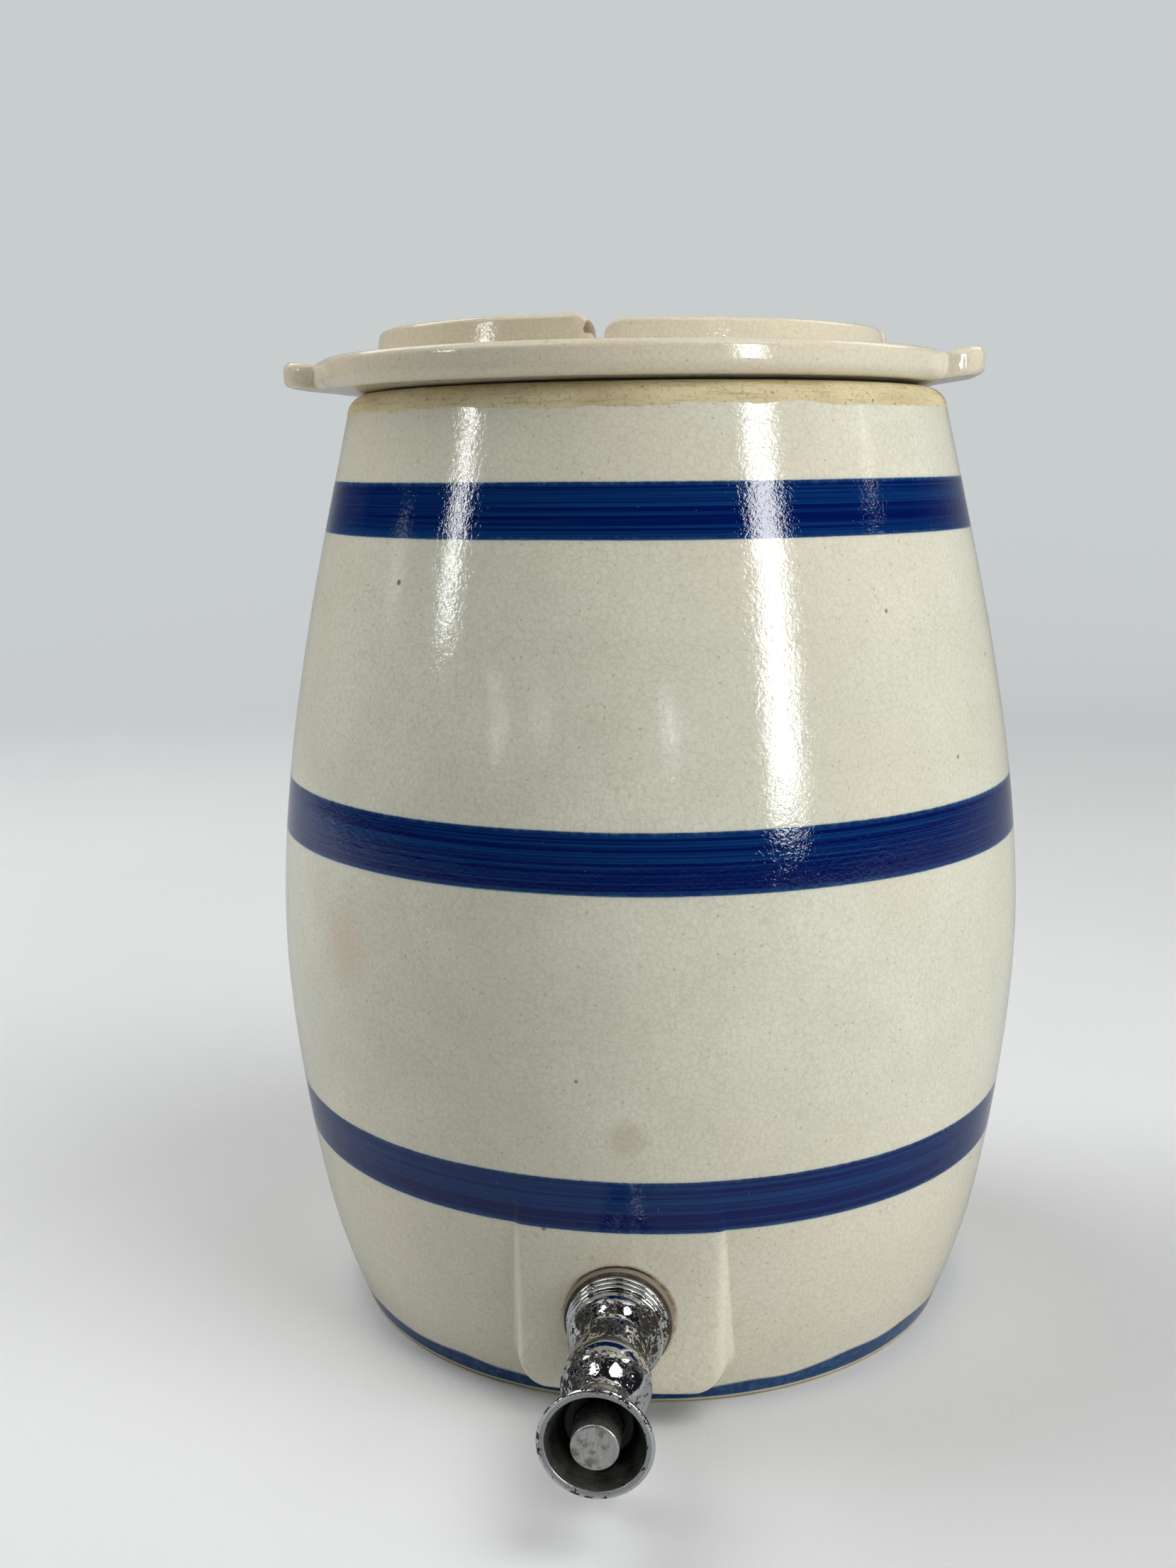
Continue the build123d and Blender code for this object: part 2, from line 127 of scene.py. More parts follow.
class FinishSettings(PropertyGroup):
    """Colours of the glazes and metals, and how worn they are."""
    cream: colour("Cream glaze", "Main glaze", (0.700, 0.690, 0.582))
    cream_grey: colour("Grey cream", "Glaze where it lies thin", (0.616, 0.622, 0.512))
    cobalt: colour("Cobalt", "Full brush of blue", (0.0004, 0.0050, 0.072))
    cobalt_thin: colour("Thin cobalt", "Blue where the brush ran dry", (0.003, 0.034, 0.135))
    clay: colour("Bare clay", "Unglazed rim and foot", (0.610, 0.530, 0.320))
    clay_dark: colour("Dark clay", "Stained clay in chips and pits", (0.150, 0.085, 0.040))
    nickel: colour("Chrome", "Plated brass", (0.660, 0.665, 0.675))
    rubber: colour("Rubber", "Aged washer rubber", (0.050, 0.036, 0.028))
    brass: colour("Brass", "Plain turned brass", (0.480, 0.335, 0.120))
    crazing: share("Crazing", "Strength of the fine cracks in the glaze", 0.52)
    pitting: share("Pitting", "Share of the chrome that is pitted", 0.75)


class StageSettings(PropertyGroup):
    """Camera, lamps and backdrop."""
    camera_place: FloatVectorProperty(name="Camera", description="Place of the camera", size=3,
                                      default=(0.0432, -0.5595, 0.2736), subtype="TRANSLATION",
                                      precision=4)
    aim: FloatVectorProperty(name="Aim", description="Point the camera looks at", size=3,
                             default=(-0.0186, -0.0126, 0.1703), subtype="TRANSLATION",
                             precision=4)
    roll: FloatProperty(name="Roll", description="Tilt of the camera about its own line",
                        default=radians(-0.65), subtype="ANGLE")
    lens: FloatProperty(name="Lens", description="Focal length in millimetres on a 36 mm frame",
                        default=39.06, min=10.0)
    floor: colour("Floor", "Cloth under the cooler", (0.66, 0.668, 0.672))
    wall: colour("Wall", "The cloth where it hangs behind the cooler", (0.80, 0.83, 0.84))
    backdrop: colour("Backdrop", "Background that the camera sees", (0.58, 0.61, 0.62))
    room: colour("Room", "Dim room that the gloss reflects", (0.012, 0.013, 0.015))
    daylight: FloatProperty(name="Daylight", description="Strength of the room light", default=0.15,
                            min=0.0)


# ------------------------------------------------------------------ shapes
def natural_spline(stations):
    """Smooth curve through (place, radius) stations, as a function of the place."""
    places, radii = (np.array(values, float) for values in zip(*stations))
    step = np.diff(places)
    slope = np.diff(radii) / step
    matrix, target = np.eye(len(places)), np.zeros(len(places))
    for i in range(1, len(places) - 1):
        matrix[i, i - 1:i + 2] = step[i - 1], 2 * (step[i - 1] + step[i]), step[i]
        target[i] = 6 * (slope[i] - slope[i - 1])
    bend = np.linalg.solve(matrix, target)

    def radius(place):
        i = min(max(int(np.searchsorted(places, place)) - 1, 0), len(step) - 1)
        before, after, width = places[i + 1] - place, place - places[i], step[i]
        cubic = (bend[i] * before ** 3 + bend[i + 1] * after ** 3) / (6 * width)
        line = (radii[i] / width - bend[i] * width / 6) * before
        return float(cubic + line + (radii[i + 1] / width - bend[i + 1] * width / 6) * after)
    return radius


def spaced(start, end, step):
    """Evenly spaced places from start up to, but not including, end."""
    count = max(1, round(abs(end - start) / step))
    return [start + (end - start) * i / count for i in range(count)]


def traced(curve, start, end, step):
    return [(place, curve(place)) for place in spaced(start, end, step)]


def softened(corners, segments=4):
    """Chain through (a, b, rounding) corners, each corner rounded by its own radius."""
    chain = []
    for i, (a, b, rounding) in enumerate(corners):
        here = Vector((a, b))
        if rounding <= 0 or i in (0, len(corners) - 1):
            chain.append((a, b))
            continue
        before = Vector(corners[i - 1][:2]) - here
        after = Vector(corners[i + 1][:2]) - here
        half = before.angle(after) / 2
        reach = min(rounding / tan(half), 0.49 * before.length, 0.49 * after.length)
        middle = (before.normalized() + after.normalized()).normalized()
        centre = here + middle * (reach / cos(half))
        first = here + before.normalized() * reach - centre
        last = here + after.normalized() * reach - centre
        for k in range(segments + 1):
            point = centre + first.slerp(last, k / segments) * first.length
            chain.append((point.x, point.y))
    return chain


def arc(a, b, radius, start, end, segments):
    """Points on a quarter or so of a circle about (a, b), between two angles in degrees."""
    turns = [radians(start + (end - start) * i / segments) for i in range(segments + 1)]
    return [(a + radius * cos(turn), b + radius * sin(turn)) for turn in turns]


def smooth_max(a, b, reach):
    lift = max(reach - abs(a - b), 0.0) / reach
    return max(a, b) + lift * lift * reach / 4


def smooth_min(a, b, reach):
    return -smooth_max(-a, -b, reach)


def smooth_step(value, low, high):
    share_done = min(max((value - low) / (high - low), 0.0), 1.0)
    return share_done * share_done * (3 - 2 * share_done)


def lathe(points, centre, axis, sweeps, closed=False):
    """Turns a chain of points about an axis, in sweeps of (degrees, steps). The vertex layer
    "row" keeps each vertex's place in the chain."""
    bm = bmesh.new()
    row = bm.verts.layers.int.new("row")
    verts = [bm.verts.new(point) for point in points]
    for index, vert in enumerate(verts):
        vert[row] = index
    edges = [bm.edges.new(pair) for pair in zip(verts, verts[1:])]
    if closed:
        edges.append(bm.edges.new((verts[-1], verts[0])))
    full = len(sweeps) == 1 and abs(sweeps[0][0]) == 360
    last = verts + edges
    for span, steps in sweeps:
        made = bmesh.ops.spin(bm, geom=last, cent=centre, axis=axis, dvec=(0, 0, 0),
                              angle=radians(span), steps=steps, use_merge=full,
                              use_normal_flip=False, use_duplicate=False)
        last = made["geom_last"]
    bmesh.ops.remove_doubles(bm, verts=bm.verts, dist=2e-6)
    bmesh.ops.dissolve_degenerate(bm, edges=bm.edges, dist=1e-7)
    return bm


def mesh_of(bm, name):
    """Mesh of a bmesh, with its faces pointing outwards."""
    bmesh.ops.recalc_face_normals(bm, faces=bm.faces)
    mesh = bpy.data.meshes.new(name)
    bm.to_mesh(mesh)
    bm.free()
    return mesh


def carve(mesh, tools):
    """Cuts or joins closed meshes, given as (operation, bmesh), and returns a bmesh."""
    blank = bpy.data.objects.new("blank", mesh)
    bpy.context.scene.collection.objects.link(blank)
    helpers = []
    for operation, tool in tools:
        helper = bpy.data.objects.new("helper", mesh_of(tool, "helper"))
        bpy.context.scene.collection.objects.link(helper)
        helper.hide_render = True
        change = blank.modifiers.new(operation, "BOOLEAN")
        change.operation, change.object, change.solver = operation, helper, "EXACT"
        helpers.append(helper)
    evaluated = blank.evaluated_get(bpy.context.evaluated_depsgraph_get())
    result = bpy.data.meshes.new_from_object(evaluated)
    bm = bmesh.new()
    bm.from_mesh(result)
    for thing in [blank, *helpers]:
        data = thing.data
        bpy.data.objects.remove(thing)
        bpy.data.meshes.remove(data)
    bpy.data.meshes.remove(result)
    return bm


def add_piece(bm, name, body, node, materials, crease):
    """Finished piece: smooth faces, sharp creases, riding on its body in place of its node."""
    bmesh.ops.remove_doubles(bm, verts=bm.verts, dist=1e-6)
    mesh = mesh_of(bm, name)
    for material in materials:
        mesh.materials.append(material)
    mesh.polygons.foreach_set("use_smooth", [True] * len(mesh.polygons))
    mesh.set_sharp_from_angle(angle=radians(crease))
    piece = bpy.data.objects.new(name, mesh)
    bpy.context.scene.collection.objects.link(piece)
    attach(piece, body)
    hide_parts(node)
    return piece


def tap_point(station, radius):
    """Point of a tap outline: station outwards from the crock's axis, radius from the tap's."""
    return (radius * MM, -station * MM, tap_height() * MM)


def tap_height():
    low, high = cad("bell_cap")
    return (low.z + high.z) / 2


def tap_lathe(outline, closed=False, steps=144):
    """Turns (station, radius) points about the tap's axis."""
    centre = (0, 0, tap_height() * MM)
    return lathe([tap_point(*point) for point in outline], centre, (0, 1, 0), [(360, steps)],
                 closed)


def upright_lathe(outline, y):
    """Turns (radius, height) points about an upright axis in the middle plane, at y."""
    points = [(radius * MM, y * MM, height * MM) for radius, height in outline]
    return lathe(points, (0, y * MM, 0), (0, 0, 1), [(360, 96)])


# ------------------------------------------------------------------ materials
class Graph:
    """A node tree, and short ways to add its nodes."""

    def __init__(self, tree):
        self.nodes, self.links = tree.nodes, tree.links

    def feed(self, socket, value):
        if isinstance(value, bpy.types.NodeSocket):
            self.links.new(value, socket)
        elif value is not None:
            if hasattr(value, "__len__") and len(socket.default_value) == 4 and len(value) == 3:
                value = (*value, 1.0)
            socket.default_value = value

    def new(self, kind, *values, **settings):
        """Node of a kind with its settings, and values for its first inputs."""
        node = self.nodes.new("ShaderNode" + kind)
        for key, value in settings.items():
            setattr(node, key, value)
        for socket, value in zip(node.inputs, values):
            self.feed(socket, value)
        return node

    def math(self, operation, a, b=None, clamp=False):
        return self.new("Math", a, b, operation=operation, use_clamp=clamp).outputs[0]

    def times(self, a, b):
        return self.math("MULTIPLY", a, b)

    def sum(self, *terms):
        """Sum of (value, weight) pairs."""
        total = None
        for value, weight in terms:
            part = self.times(value, weight)
            total = part if total is None else self.math("ADD", total, part)
        return total

    def vector(self, operation, a, b=None):
        node = self.new("VectorMath", a, b, operation=operation)
        return node.outputs["Value" if operation == "LENGTH" else "Vector"]

    def away_from(self, spot):
        return self.vector("LENGTH", self.vector("SUBTRACT", self.place, spot))

    def apart(self, vector):
        return self.new("SeparateXYZ", vector).outputs

    def fade(self, value, low, high, to_low=0.0, to_high=1.0, smooth=True):
        return self.new("MapRange", value, low, high, to_low, to_high,
                        interpolation_type="SMOOTHSTEP" if smooth else "LINEAR").outputs[0]

    def between(self, value, low, risen, high, gone):
        """1 from risen up to high, and 0 below low and above gone."""
        return self.times(self.fade(value, low, risen), self.fade(value, high, gone, 1.0, 0.0))

    def mix(self, factor, a, b):
        node = self.new("Mix", factor, data_type="RGBA")
        self.feed(node.inputs[6], a)
        self.feed(node.inputs[7], b)
        return node.outputs[2]


class Finish(Graph):
    """One procedural material on the piece's own coordinates."""

    def __init__(self, name):
        self.material = bpy.data.materials.new(name)
        self.material.use_nodes = True
        super().__init__(self.material.node_tree)
        self.shader = self.nodes["Principled BSDF"]
        self.place = self.new("TexCoord").outputs["Object"]
        self.looks = bpy.context.scene.cooler_finish

    def noise(self, scale, detail=2.0, rough=0.5, stretch=None, vector=None, output="Fac"):
        place = self.place if vector is None else vector
        if stretch:
            place = self.vector("MULTIPLY", place, stretch)
        node = self.new("TexNoise", place)
        for key, value in (("Scale", scale), ("Detail", detail), ("Roughness", rough)):
            node.inputs[key].default_value = value
        return node.outputs[output]

    def cells(self, scale, feature="F1", vector=None, output="Distance"):
        place = self.place if vector is None else vector
        node = self.new("TexVoronoi", place, feature=feature)
        node.inputs["Scale"].default_value = scale
        return node.outputs[output]

    def about_tap(self):
        """Distance from the tap's axis, and a vector of it and the place along the axis."""
        level = self.vector("SUBTRACT", self.place, (0, 0, tap_height() * MM))
        away = self.vector("LENGTH", self.vector("MULTIPLY", level, (1, 0, 1)))
        return away, self.new("CombineXYZ", away, self.apart(self.place)[1]).outputs[0]

    def bump(self, height, distance):
        node = self.new("Bump")
        for key, value in (("Strength", 1.0), ("Distance", distance), ("Height", height)):
            self.feed(node.inputs[key], value)
        return node.outputs["Normal"]

    def set(self, **values):
        for key, value in values.items():
            self.feed(self.shader.inputs[key.replace("_", " ")], value)
        return self.material

    def fade_out(self, tone, near, far):
        """Lets the surface fade into an even tone with distance, for the camera only."""
        away = self.fade(self.vector("LENGTH", self.place), near, far)
        seen = self.times(away, self.new("LightPath").outputs["Is Camera Ray"])
        blend = self.new("MixShader", seen, self.shader.outputs[0],
                         self.new("Emission", tone).outputs[0])
        self.feed(self.nodes["Material Output"].inputs["Surface"], blend.outputs[0])


class Glaze(Finish):
    """Cream stoneware glaze: clouding, grain, fine cracks, pinholes and a slight orange peel."""

    def __init__(self, name, warmth=0.0):
        super().__init__(name)
        cloud = self.noise(9.0, 3.0, 0.6)
        patch = self.noise(46.0, 3.0, 0.6)
        peel = self.noise(800.0, 2.0, 0.6)
        swell = self.noise(75.0, 2.0, 0.5)
        ripple = self.noise(230.0, 2.0, 0.5)
        base = self.mix(self.fade(self.sum((cloud, 0.6), (patch, 0.4)), 0.36, 0.66),
                        self.looks.cream_grey, self.looks.cream)
        base = self.mix(self.fade(peel, 0.34, 0.60, 0.24, 0.0), base, (0.47, 0.45, 0.33))
        warm = self.fade(self.noise(13.0, 2.0, 0.5), 0.40, 0.66, 0.05, 0.36)
        cool_middle = self.away_from((-0.045, -0.115, 0.165))
        warm = self.times(warm, self.fade(cool_middle, 0.05, 0.14, 0.15, 1.0))
        low = self.fade(self.apart(self.place)[2], 0.055, 0.125, 0.30, 0.0)
        warm = self.math("ADD", self.math("MAXIMUM", warm, low), warmth, clamp=True)
        base = self.mix(warm, base, (0.69, 0.60, 0.45))
        shaken = self.vector("ADD", self.place, self.drift(120.0, 0.0030))
        wide = self.fade(self.cells(135.0, "DISTANCE_TO_EDGE", shaken), 0.0, 0.028, 1.0, 0.0)
        tight = self.fade(self.cells(470.0, "DISTANCE_TO_EDGE", shaken), 0.0, 0.09, 1.0, 0.0)
        here = self.fade(self.noise(24.0, 2.0), 0.46, 0.62, 0.0, 0.5)
        self.cracks = self.math("MAXIMUM", self.times(wide, here), self.times(tight, 0.42))
        crack_tone = self.times(self.cracks, self.looks.crazing)
        base = self.mix(crack_tone, base, (0.36, 0.33, 0.23))
        freckle = self.scatter(430.0, 0.10, 0.22, 0.80)
        base = self.mix(self.times(freckle, 0.42), base, (0.30, 0.23, 0.14))
        self.pits = self.scatter(95.0, 0.05, 0.10, 0.955)
        self.colour = self.mix(self.times(self.pits, 0.8), base, self.looks.clay_dark)
        self.bare = None
        grain = self.noise(1900.0, 2.0, 0.6)
        self.relief = self.sum((peel, 0.36), (swell, 0.55), (ripple, 0.32), (grain, 0.10),
                               (self.cracks, -0.08), (self.pits, -1.2))

    def scatter(self, scale, inner, outer, rarity):
        """Round specks, one in each cell whose lot is above the rarity."""
        spot = self.fade(self.cells(scale), inner, outer, 1.0, 0.0)
        lot = self.apart(self.cells(scale, output="Color"))[0]
        return self.times(spot, self.fade(lot, rarity, rarity + 0.01))

    def drift(self, scale, reach):
        """Small sideways shift that keeps a pattern from looking ruled."""
        centred = self.vector("SUBTRACT", self.noise(scale, output="Color"), (0.5, 0.5, 0.5))
        return self.vector("MULTIPLY", centred, (reach, reach, reach))

    def bare_clay(self, mask):
        """Unglazed clay where the mask is 1."""
        sand = self.noise(900.0, 3.0, 0.7)
        blotch = self.noise(60.0, 3.0, 0.6)
        scuffs = self.noise(1.0, 3.0, 0.7, stretch=(60, 60, 900))
        clay = self.mix(self.fade(blotch, 0.35, 0.70), self.looks.clay, (0.50, 0.42, 0.235))
        clay = self.mix(self.fade(scuffs, 0.50, 0.70, 0.0, 0.6), clay, (0.33, 0.26, 0.13))
        clay = self.mix(self.fade(sand, 0.53, 0.68, 0.0, 0.65), clay, (0.30, 0.225, 0.11))
        iron = self.scatter(290.0, 0.08, 0.19, 0.80)
        clay = self.mix(self.times(iron, 0.8), clay, self.looks.clay_dark)
        self.colour = self.mix(mask, self.colour, clay)
        self.relief = self.sum((self.relief, 1.0), (self.times(mask, sand), 0.9))
        self.bare = mask if self.bare is None else self.math("MAXIMUM", self.bare, mask)

    def done(self, shine=0.012):
        smears = self.noise(38.0, 3.0, 0.6)
        rough = self.fade(smears, 0.3, 0.75, shine, shine + 0.025)
        if self.bare is not None:
            rough = self.math("ADD", rough, self.times(self.bare, 0.65), clamp=True)
        normal = self.bump(self.relief, 0.00015)
        return self.set(Base_Color=self.colour, Roughness=rough, Normal=normal, IOR=1.40)


BANDS = ((253.7, 269.2), (159.8, 177.0), (61.6, 77.6))      # lower and upper edge, in mm
# Painted reflections on the outside glaze: a warm patch on the left belly, and the tap's dark
# reflection above the lowest band.
PAINTED_REFLECTIONS = (((-0.083, -0.088, 0.135), 0.015, (0.62, 0.47, 0.34)),      # place, size, tone
          ((0.003, -0.1190, 0.0905), 0.0075, (0.46, 0.40, 0.27)))
WORN_BLUE, BLUE_SPECKS = (0.060, 0.150, 0.240), (0.10, 0.20, 0.33)
BLUE_BLEED, RUST = (0.30, 0.42, 0.46), (0.20, 0.115, 0.055)


def brush_bands(glaze, level):
    """Three brushed bands and the foot line, with darker and thinner strokes in them."""
    sway = glaze.noise(7.0, stretch=(1, 1, 0.01))
    bristle = glaze.noise(1.0, 3.0, 0.7, stretch=(7, 7, 1000))
    hairs = glaze.noise(1.0, 2.0, 0.6, stretch=(3, 3, 1700))
    strokes = glaze.noise(1.0, stretch=(2, 2, 260))
    fray = glaze.noise(420.0, 3.0, 0.7)
    edge = glaze.sum((sway, 1.5), (bristle, 0.25), (fray, 0.3))
    painted = glaze.math("ADD", level, glaze.math("SUBTRACT", edge, 1.0))
    band = bleed = body = 0.0
    for low, high in BANDS:
        full = glaze.between(painted, low - 0.25, low + 0.25, high - 0.25, high + 0.25)
        wide = glaze.between(painted, low - 1.3, low, high, high + 1.3)
        middle = glaze.between(painted, low, low + 1.5, high - 1.5, high)
        band = glaze.math("ADD", band, full, clamp=True)
        bleed = glaze.math("ADD", bleed, wide, clamp=True)
        body = glaze.math("ADD", body, middle, clamp=True)
    foot_top = glaze.fade(glaze.noise(16.0, 2.0, 0.6, stretch=(1, 1, 0.01)), 0.30, 0.70,
                          4.6, 9.4, smooth=False)
    under_top = glaze.fade(glaze.math("SUBTRACT", level, foot_top), -0.6, 0.6, 1.0, 0.0)
    foot_line = glaze.times(under_top, glaze.fade(level, 1.3, 1.9))
    band = glaze.math("MAXIMUM", band, foot_line)
    thin = glaze.fade(glaze.sum((bristle, 0.38), (hairs, 0.40), (strokes, 0.22)), 0.43, 0.61)
    edge_thin = glaze.times(glaze.math("SUBTRACT", 1.0, body), 0.8)
    thin = glaze.math("MAXIMUM", thin, edge_thin)
    thin = glaze.math("MAXIMUM", thin, glaze.times(foot_line, 0.9))
    blue = glaze.mix(thin, glaze.looks.cobalt, glaze.looks.cobalt_thin)
    dry = glaze.times(edge_thin, glaze.fade(fray, 0.40, 0.70, 0.1, 0.6))
    blue = glaze.mix(dry, blue, WORN_BLUE)
    specks = glaze.times(glaze.scatter(520.0, 0.06, 0.13, 0.93), 0.5)
    glaze.colour = glaze.mix(glaze.times(bleed, 0.22), glaze.colour, BLUE_BLEED)
    glaze.colour = glaze.mix(band, glaze.colour, glaze.mix(specks, blue, BLUE_SPECKS))


def rust_round_tap(glaze, across, y, level):
    """Rusty ring on the pad round the washer, wider at its upper right."""
    away = glaze.times(glaze.about_tap()[0], 1000.0)
    up = glaze.math("SUBTRACT", level, tap_height())
    side = glaze.math("ADD", glaze.times(across, 0.045), glaze.times(up, 0.06))
    reach = glaze.math("ADD", 16.0, glaze.times(glaze.math("MAXIMUM", side, 0.0), 0.6))
    ring = glaze.fade(glaze.math("SUBTRACT", away, reach), -0.5, 0.7, 1.0, 0.0)
    ring = glaze.times(ring, glaze.fade(y, -0.100, -0.095, 1.0, 0.0))
    patchy = glaze.fade(glaze.noise(240.0, 3.0, 0.7), 0.34, 0.62, 0.20, 0.85)
    glaze.colour = glaze.mix(glaze.times(ring, patchy), glaze.colour, RUST)


def painted_glaze():
    """Outside of the crock: two faint painted reflections, brushed cobalt bands, bare rim and foot.
    """
    glaze = Glaze("banded_glaze")
    x, y, z = glaze.apart(glaze.place)
    level = glaze.times(z, 1000.0)
    # Painted reflections: a warm patch on the left belly and the tap's dark reflection above the
    # lowest band.
    for spot, size, tone in PAINTED_REFLECTIONS:
        uneven = glaze.times(glaze.noise(60.0, 3.0, 0.6), size)
        ragged = glaze.math("ADD", glaze.away_from(spot), uneven)
        blotch = glaze.fade(ragged, size * 0.7, size * 1.5, 0.42, 0.0)
        glaze.colour = glaze.mix(blotch, glaze.colour, tone)
    brush_bands(glaze, level)
    scallop = glaze.sum((glaze.noise(26.0, stretch=(1, 1, 0.01)), 0.75), (glaze.noise(190.0), 0.25))
    line = glaze.fade(scallop, 0.3, 0.7, 288.0, 291.0, smooth=False)
    rim = glaze.fade(glaze.math("SUBTRACT", level, line), -0.25, 0.25)
    foot = glaze.fade(level, 1.0, 1.6, 1.0, 0.0)
    glaze.bare_clay(glaze.math("MAXIMUM", rim, foot))
    rust_round_tap(glaze, glaze.times(x, 1000.0), y, level)
    return glaze.done()


def inside_glaze():
    """Inside of the crock: plain cream with a bare rim."""
    glaze = Glaze("inside_glaze")
    level = glaze.times(glaze.apart(glaze.place)[2], 1000.0)
    line = glaze.fade(glaze.noise(26.0, stretch=(1, 1, 0.01)), 0.3, 0.7, 290.2, 292.0, smooth=False)
    glaze.bare_clay(glaze.fade(glaze.math("SUBTRACT", level, line), -0.3, 0.3))
    return glaze.done()


def bare_base():
    """Unglazed underside."""
    glaze = Glaze("bare_base")
    glaze.bare_clay(1.0)
    return glaze.done()


def lid_glaze(x, y, top, gap_angle):
    """Lid: glaze worn thin on the ring's edges, with one brown chip beside the front gap."""
    glaze = Glaze("lid_glaze", 0.55)
    level = glaze.math("SUBTRACT", glaze.times(glaze.apart(glaze.place)[2], 1000.0), top)
    high = glaze.fade(level, 6.7, 8.4)
    worn = glaze.times(high, glaze.fade(glaze.noise(150.0, 3.0, 0.6), 0.48, 0.62, 0.0, 0.5))
    glaze.colour = glaze.mix(worn, glaze.colour, glaze.looks.clay)
    reach, turn = 79.6, gap_angle - 0.030
    spot = Vector((x + reach * cos(turn), y + reach * sin(turn), top + 4.6)) * MM
    uneven = glaze.times(glaze.noise(500.0), 0.0022)
    ragged = glaze.math("ADD", glaze.away_from(tuple(spot)), uneven)
    chip = glaze.fade(ragged, 0.0030, 0.0036, 1.0, 0.0)
    glaze.colour = glaze.mix(chip, glaze.colour, glaze.looks.clay_dark)
    glaze.bare_clay(glaze.times(chip, 0.35))
    under = glaze.fade(level, -10.15, -10.05, 1.0, 0.0)
    glaze.bare_clay(under)
    return glaze.done()


def pitted_chrome(name, amount, rough=0.05, worst=None, dulled=0.0):
    """Old chrome plate: bright, slightly wavy, peppered with dark pits and brown film."""
    plate = Finish(name)
    fine = plate.noise(1150.0, 2.0, 0.6)
    coarse = plate.noise(560.0, 2.0, 0.6)
    crowd = plate.noise(120.0, 2.0, 0.6)
    field = plate.noise(44.0, 2.0, 0.5)
    where = plate.fade(plate.sum((crowd, 0.5), (field, 0.5)), 0.38, 0.58, 0.0, amount)
    if worst:
        back, front, level = worst
        y, z = plate.apart(plate.place)[1:3]
        along = plate.between(y, -front - 0.004, -front, -back - 0.0006, -back)
        along = plate.times(along, plate.fade(z, level - 0.004, level + 0.004))
        where = plate.math("ADD", where, plate.times(along, 0.16))
    pits = plate.fade(plate.sum((fine, 1.0), (where, 0.24)), 0.665, 0.70)
    blots = plate.fade(plate.sum((coarse, 1.0), (where, 0.24)), 0.665, 0.695)
    pits = plate.math("MAXIMUM", pits, blots)
    film = plate.fade(crowd, 0.45, 0.75, 0.0, 0.25)
    tone = plate.mix(film, plate.looks.nickel, (0.42, 0.41, 0.37))
    tone = plate.mix(dulled, tone, (0.30, 0.31, 0.30))
    tone = plate.mix(pits, tone, (0.028, 0.023, 0.017))
    roughness = plate.sum((plate.fade(crowd, 0.3, 0.8, rough, rough + 0.10), 1.0), (pits, 0.42))
    relief = plate.sum((pits, -0.8), (plate.noise(240.0, 2.0), 1.3), (fine, 0.10))
    return plate.set(Base_Color=tone, Roughness=roughness,
                     Metallic=plate.fade(pits, 0.0, 1.0, 1.0, 0.55, smooth=False),
                     Normal=plate.bump(relief, 0.00005))


def cup_metal():
    """Inside of the bell: dull plate with fine turning rings, and painted shade deep in the cup."""
    plate = Finish("cup_metal")
    y = plate.apart(plate.place)[1]
    rings = plate.noise(2600.0, 2.0, 0.6, vector=plate.about_tap()[1])
    cloud = plate.noise(210.0, 3.0, 0.6)
    tone = plate.mix(plate.fade(cloud, 0.35, 0.7), (0.120, 0.140, 0.112), (0.25, 0.268, 0.225))
    tone = plate.mix(plate.fade(rings, 0.52, 0.68, 0.0, 0.55), tone, (0.44, 0.45, 0.42))
    specks = plate.fade(plate.noise(1300.0, 2.0, 0.7), 0.60, 0.68)
    tone = plate.mix(plate.times(specks, 0.75), tone, (0.05, 0.042, 0.034))
    rim = cad("bell_cap")[0].y * MM
    # Painted shade: the plate turns nearly black deeper into the cup; near the lip it is lighter
    # and smoother.
    painted_shade_deep = plate.fade(y, rim + 0.0035, rim + 0.0085, 0.0, 0.95)
    tone = plate.mix(painted_shade_deep, tone, (0.010, 0.012, 0.009))
    lip = plate.fade(y, rim + 0.0012, rim + 0.0038, 0.85, 0.0)
    tone = plate.mix(lip, tone, (0.44, 0.44, 0.41))
    relief = plate.sum((rings, 1.0), (specks, -0.7))
    dull = plate.math("SUBTRACT", plate.fade(cloud, 0.3, 0.7, 0.26, 0.40), plate.times(lip, 0.12))
    return plate.set(Base_Color=tone, Metallic=0.92, Normal=plate.bump(relief, 0.00004),
                     Roughness=dull)


def button_metal():
    """Button: brushed pale face with brown mottling."""
    plate = Finish("button_metal")
    cloud = plate.noise(330.0, 4.0, 0.65)
    brushed = plate.noise(1.0, 2.0, 0.6, stretch=(2600, 260, 260))
    tone = plate.mix(plate.fade(brushed, 0.3, 0.7), (0.40, 0.405, 0.385), (0.52, 0.525, 0.505))
    brown = plate.fade(cloud, 0.47, 0.62)
    tone = plate.mix(plate.times(brown, 0.75), tone, (0.17, 0.125, 0.08))
    relief = plate.sum((brushed, 0.5), (brown, -0.6))
    return plate.set(Base_Color=tone, Metallic=0.9, Normal=plate.bump(relief, 0.00004),
                     Roughness=plate.fade(cloud, 0.35, 0.7, 0.24, 0.50))


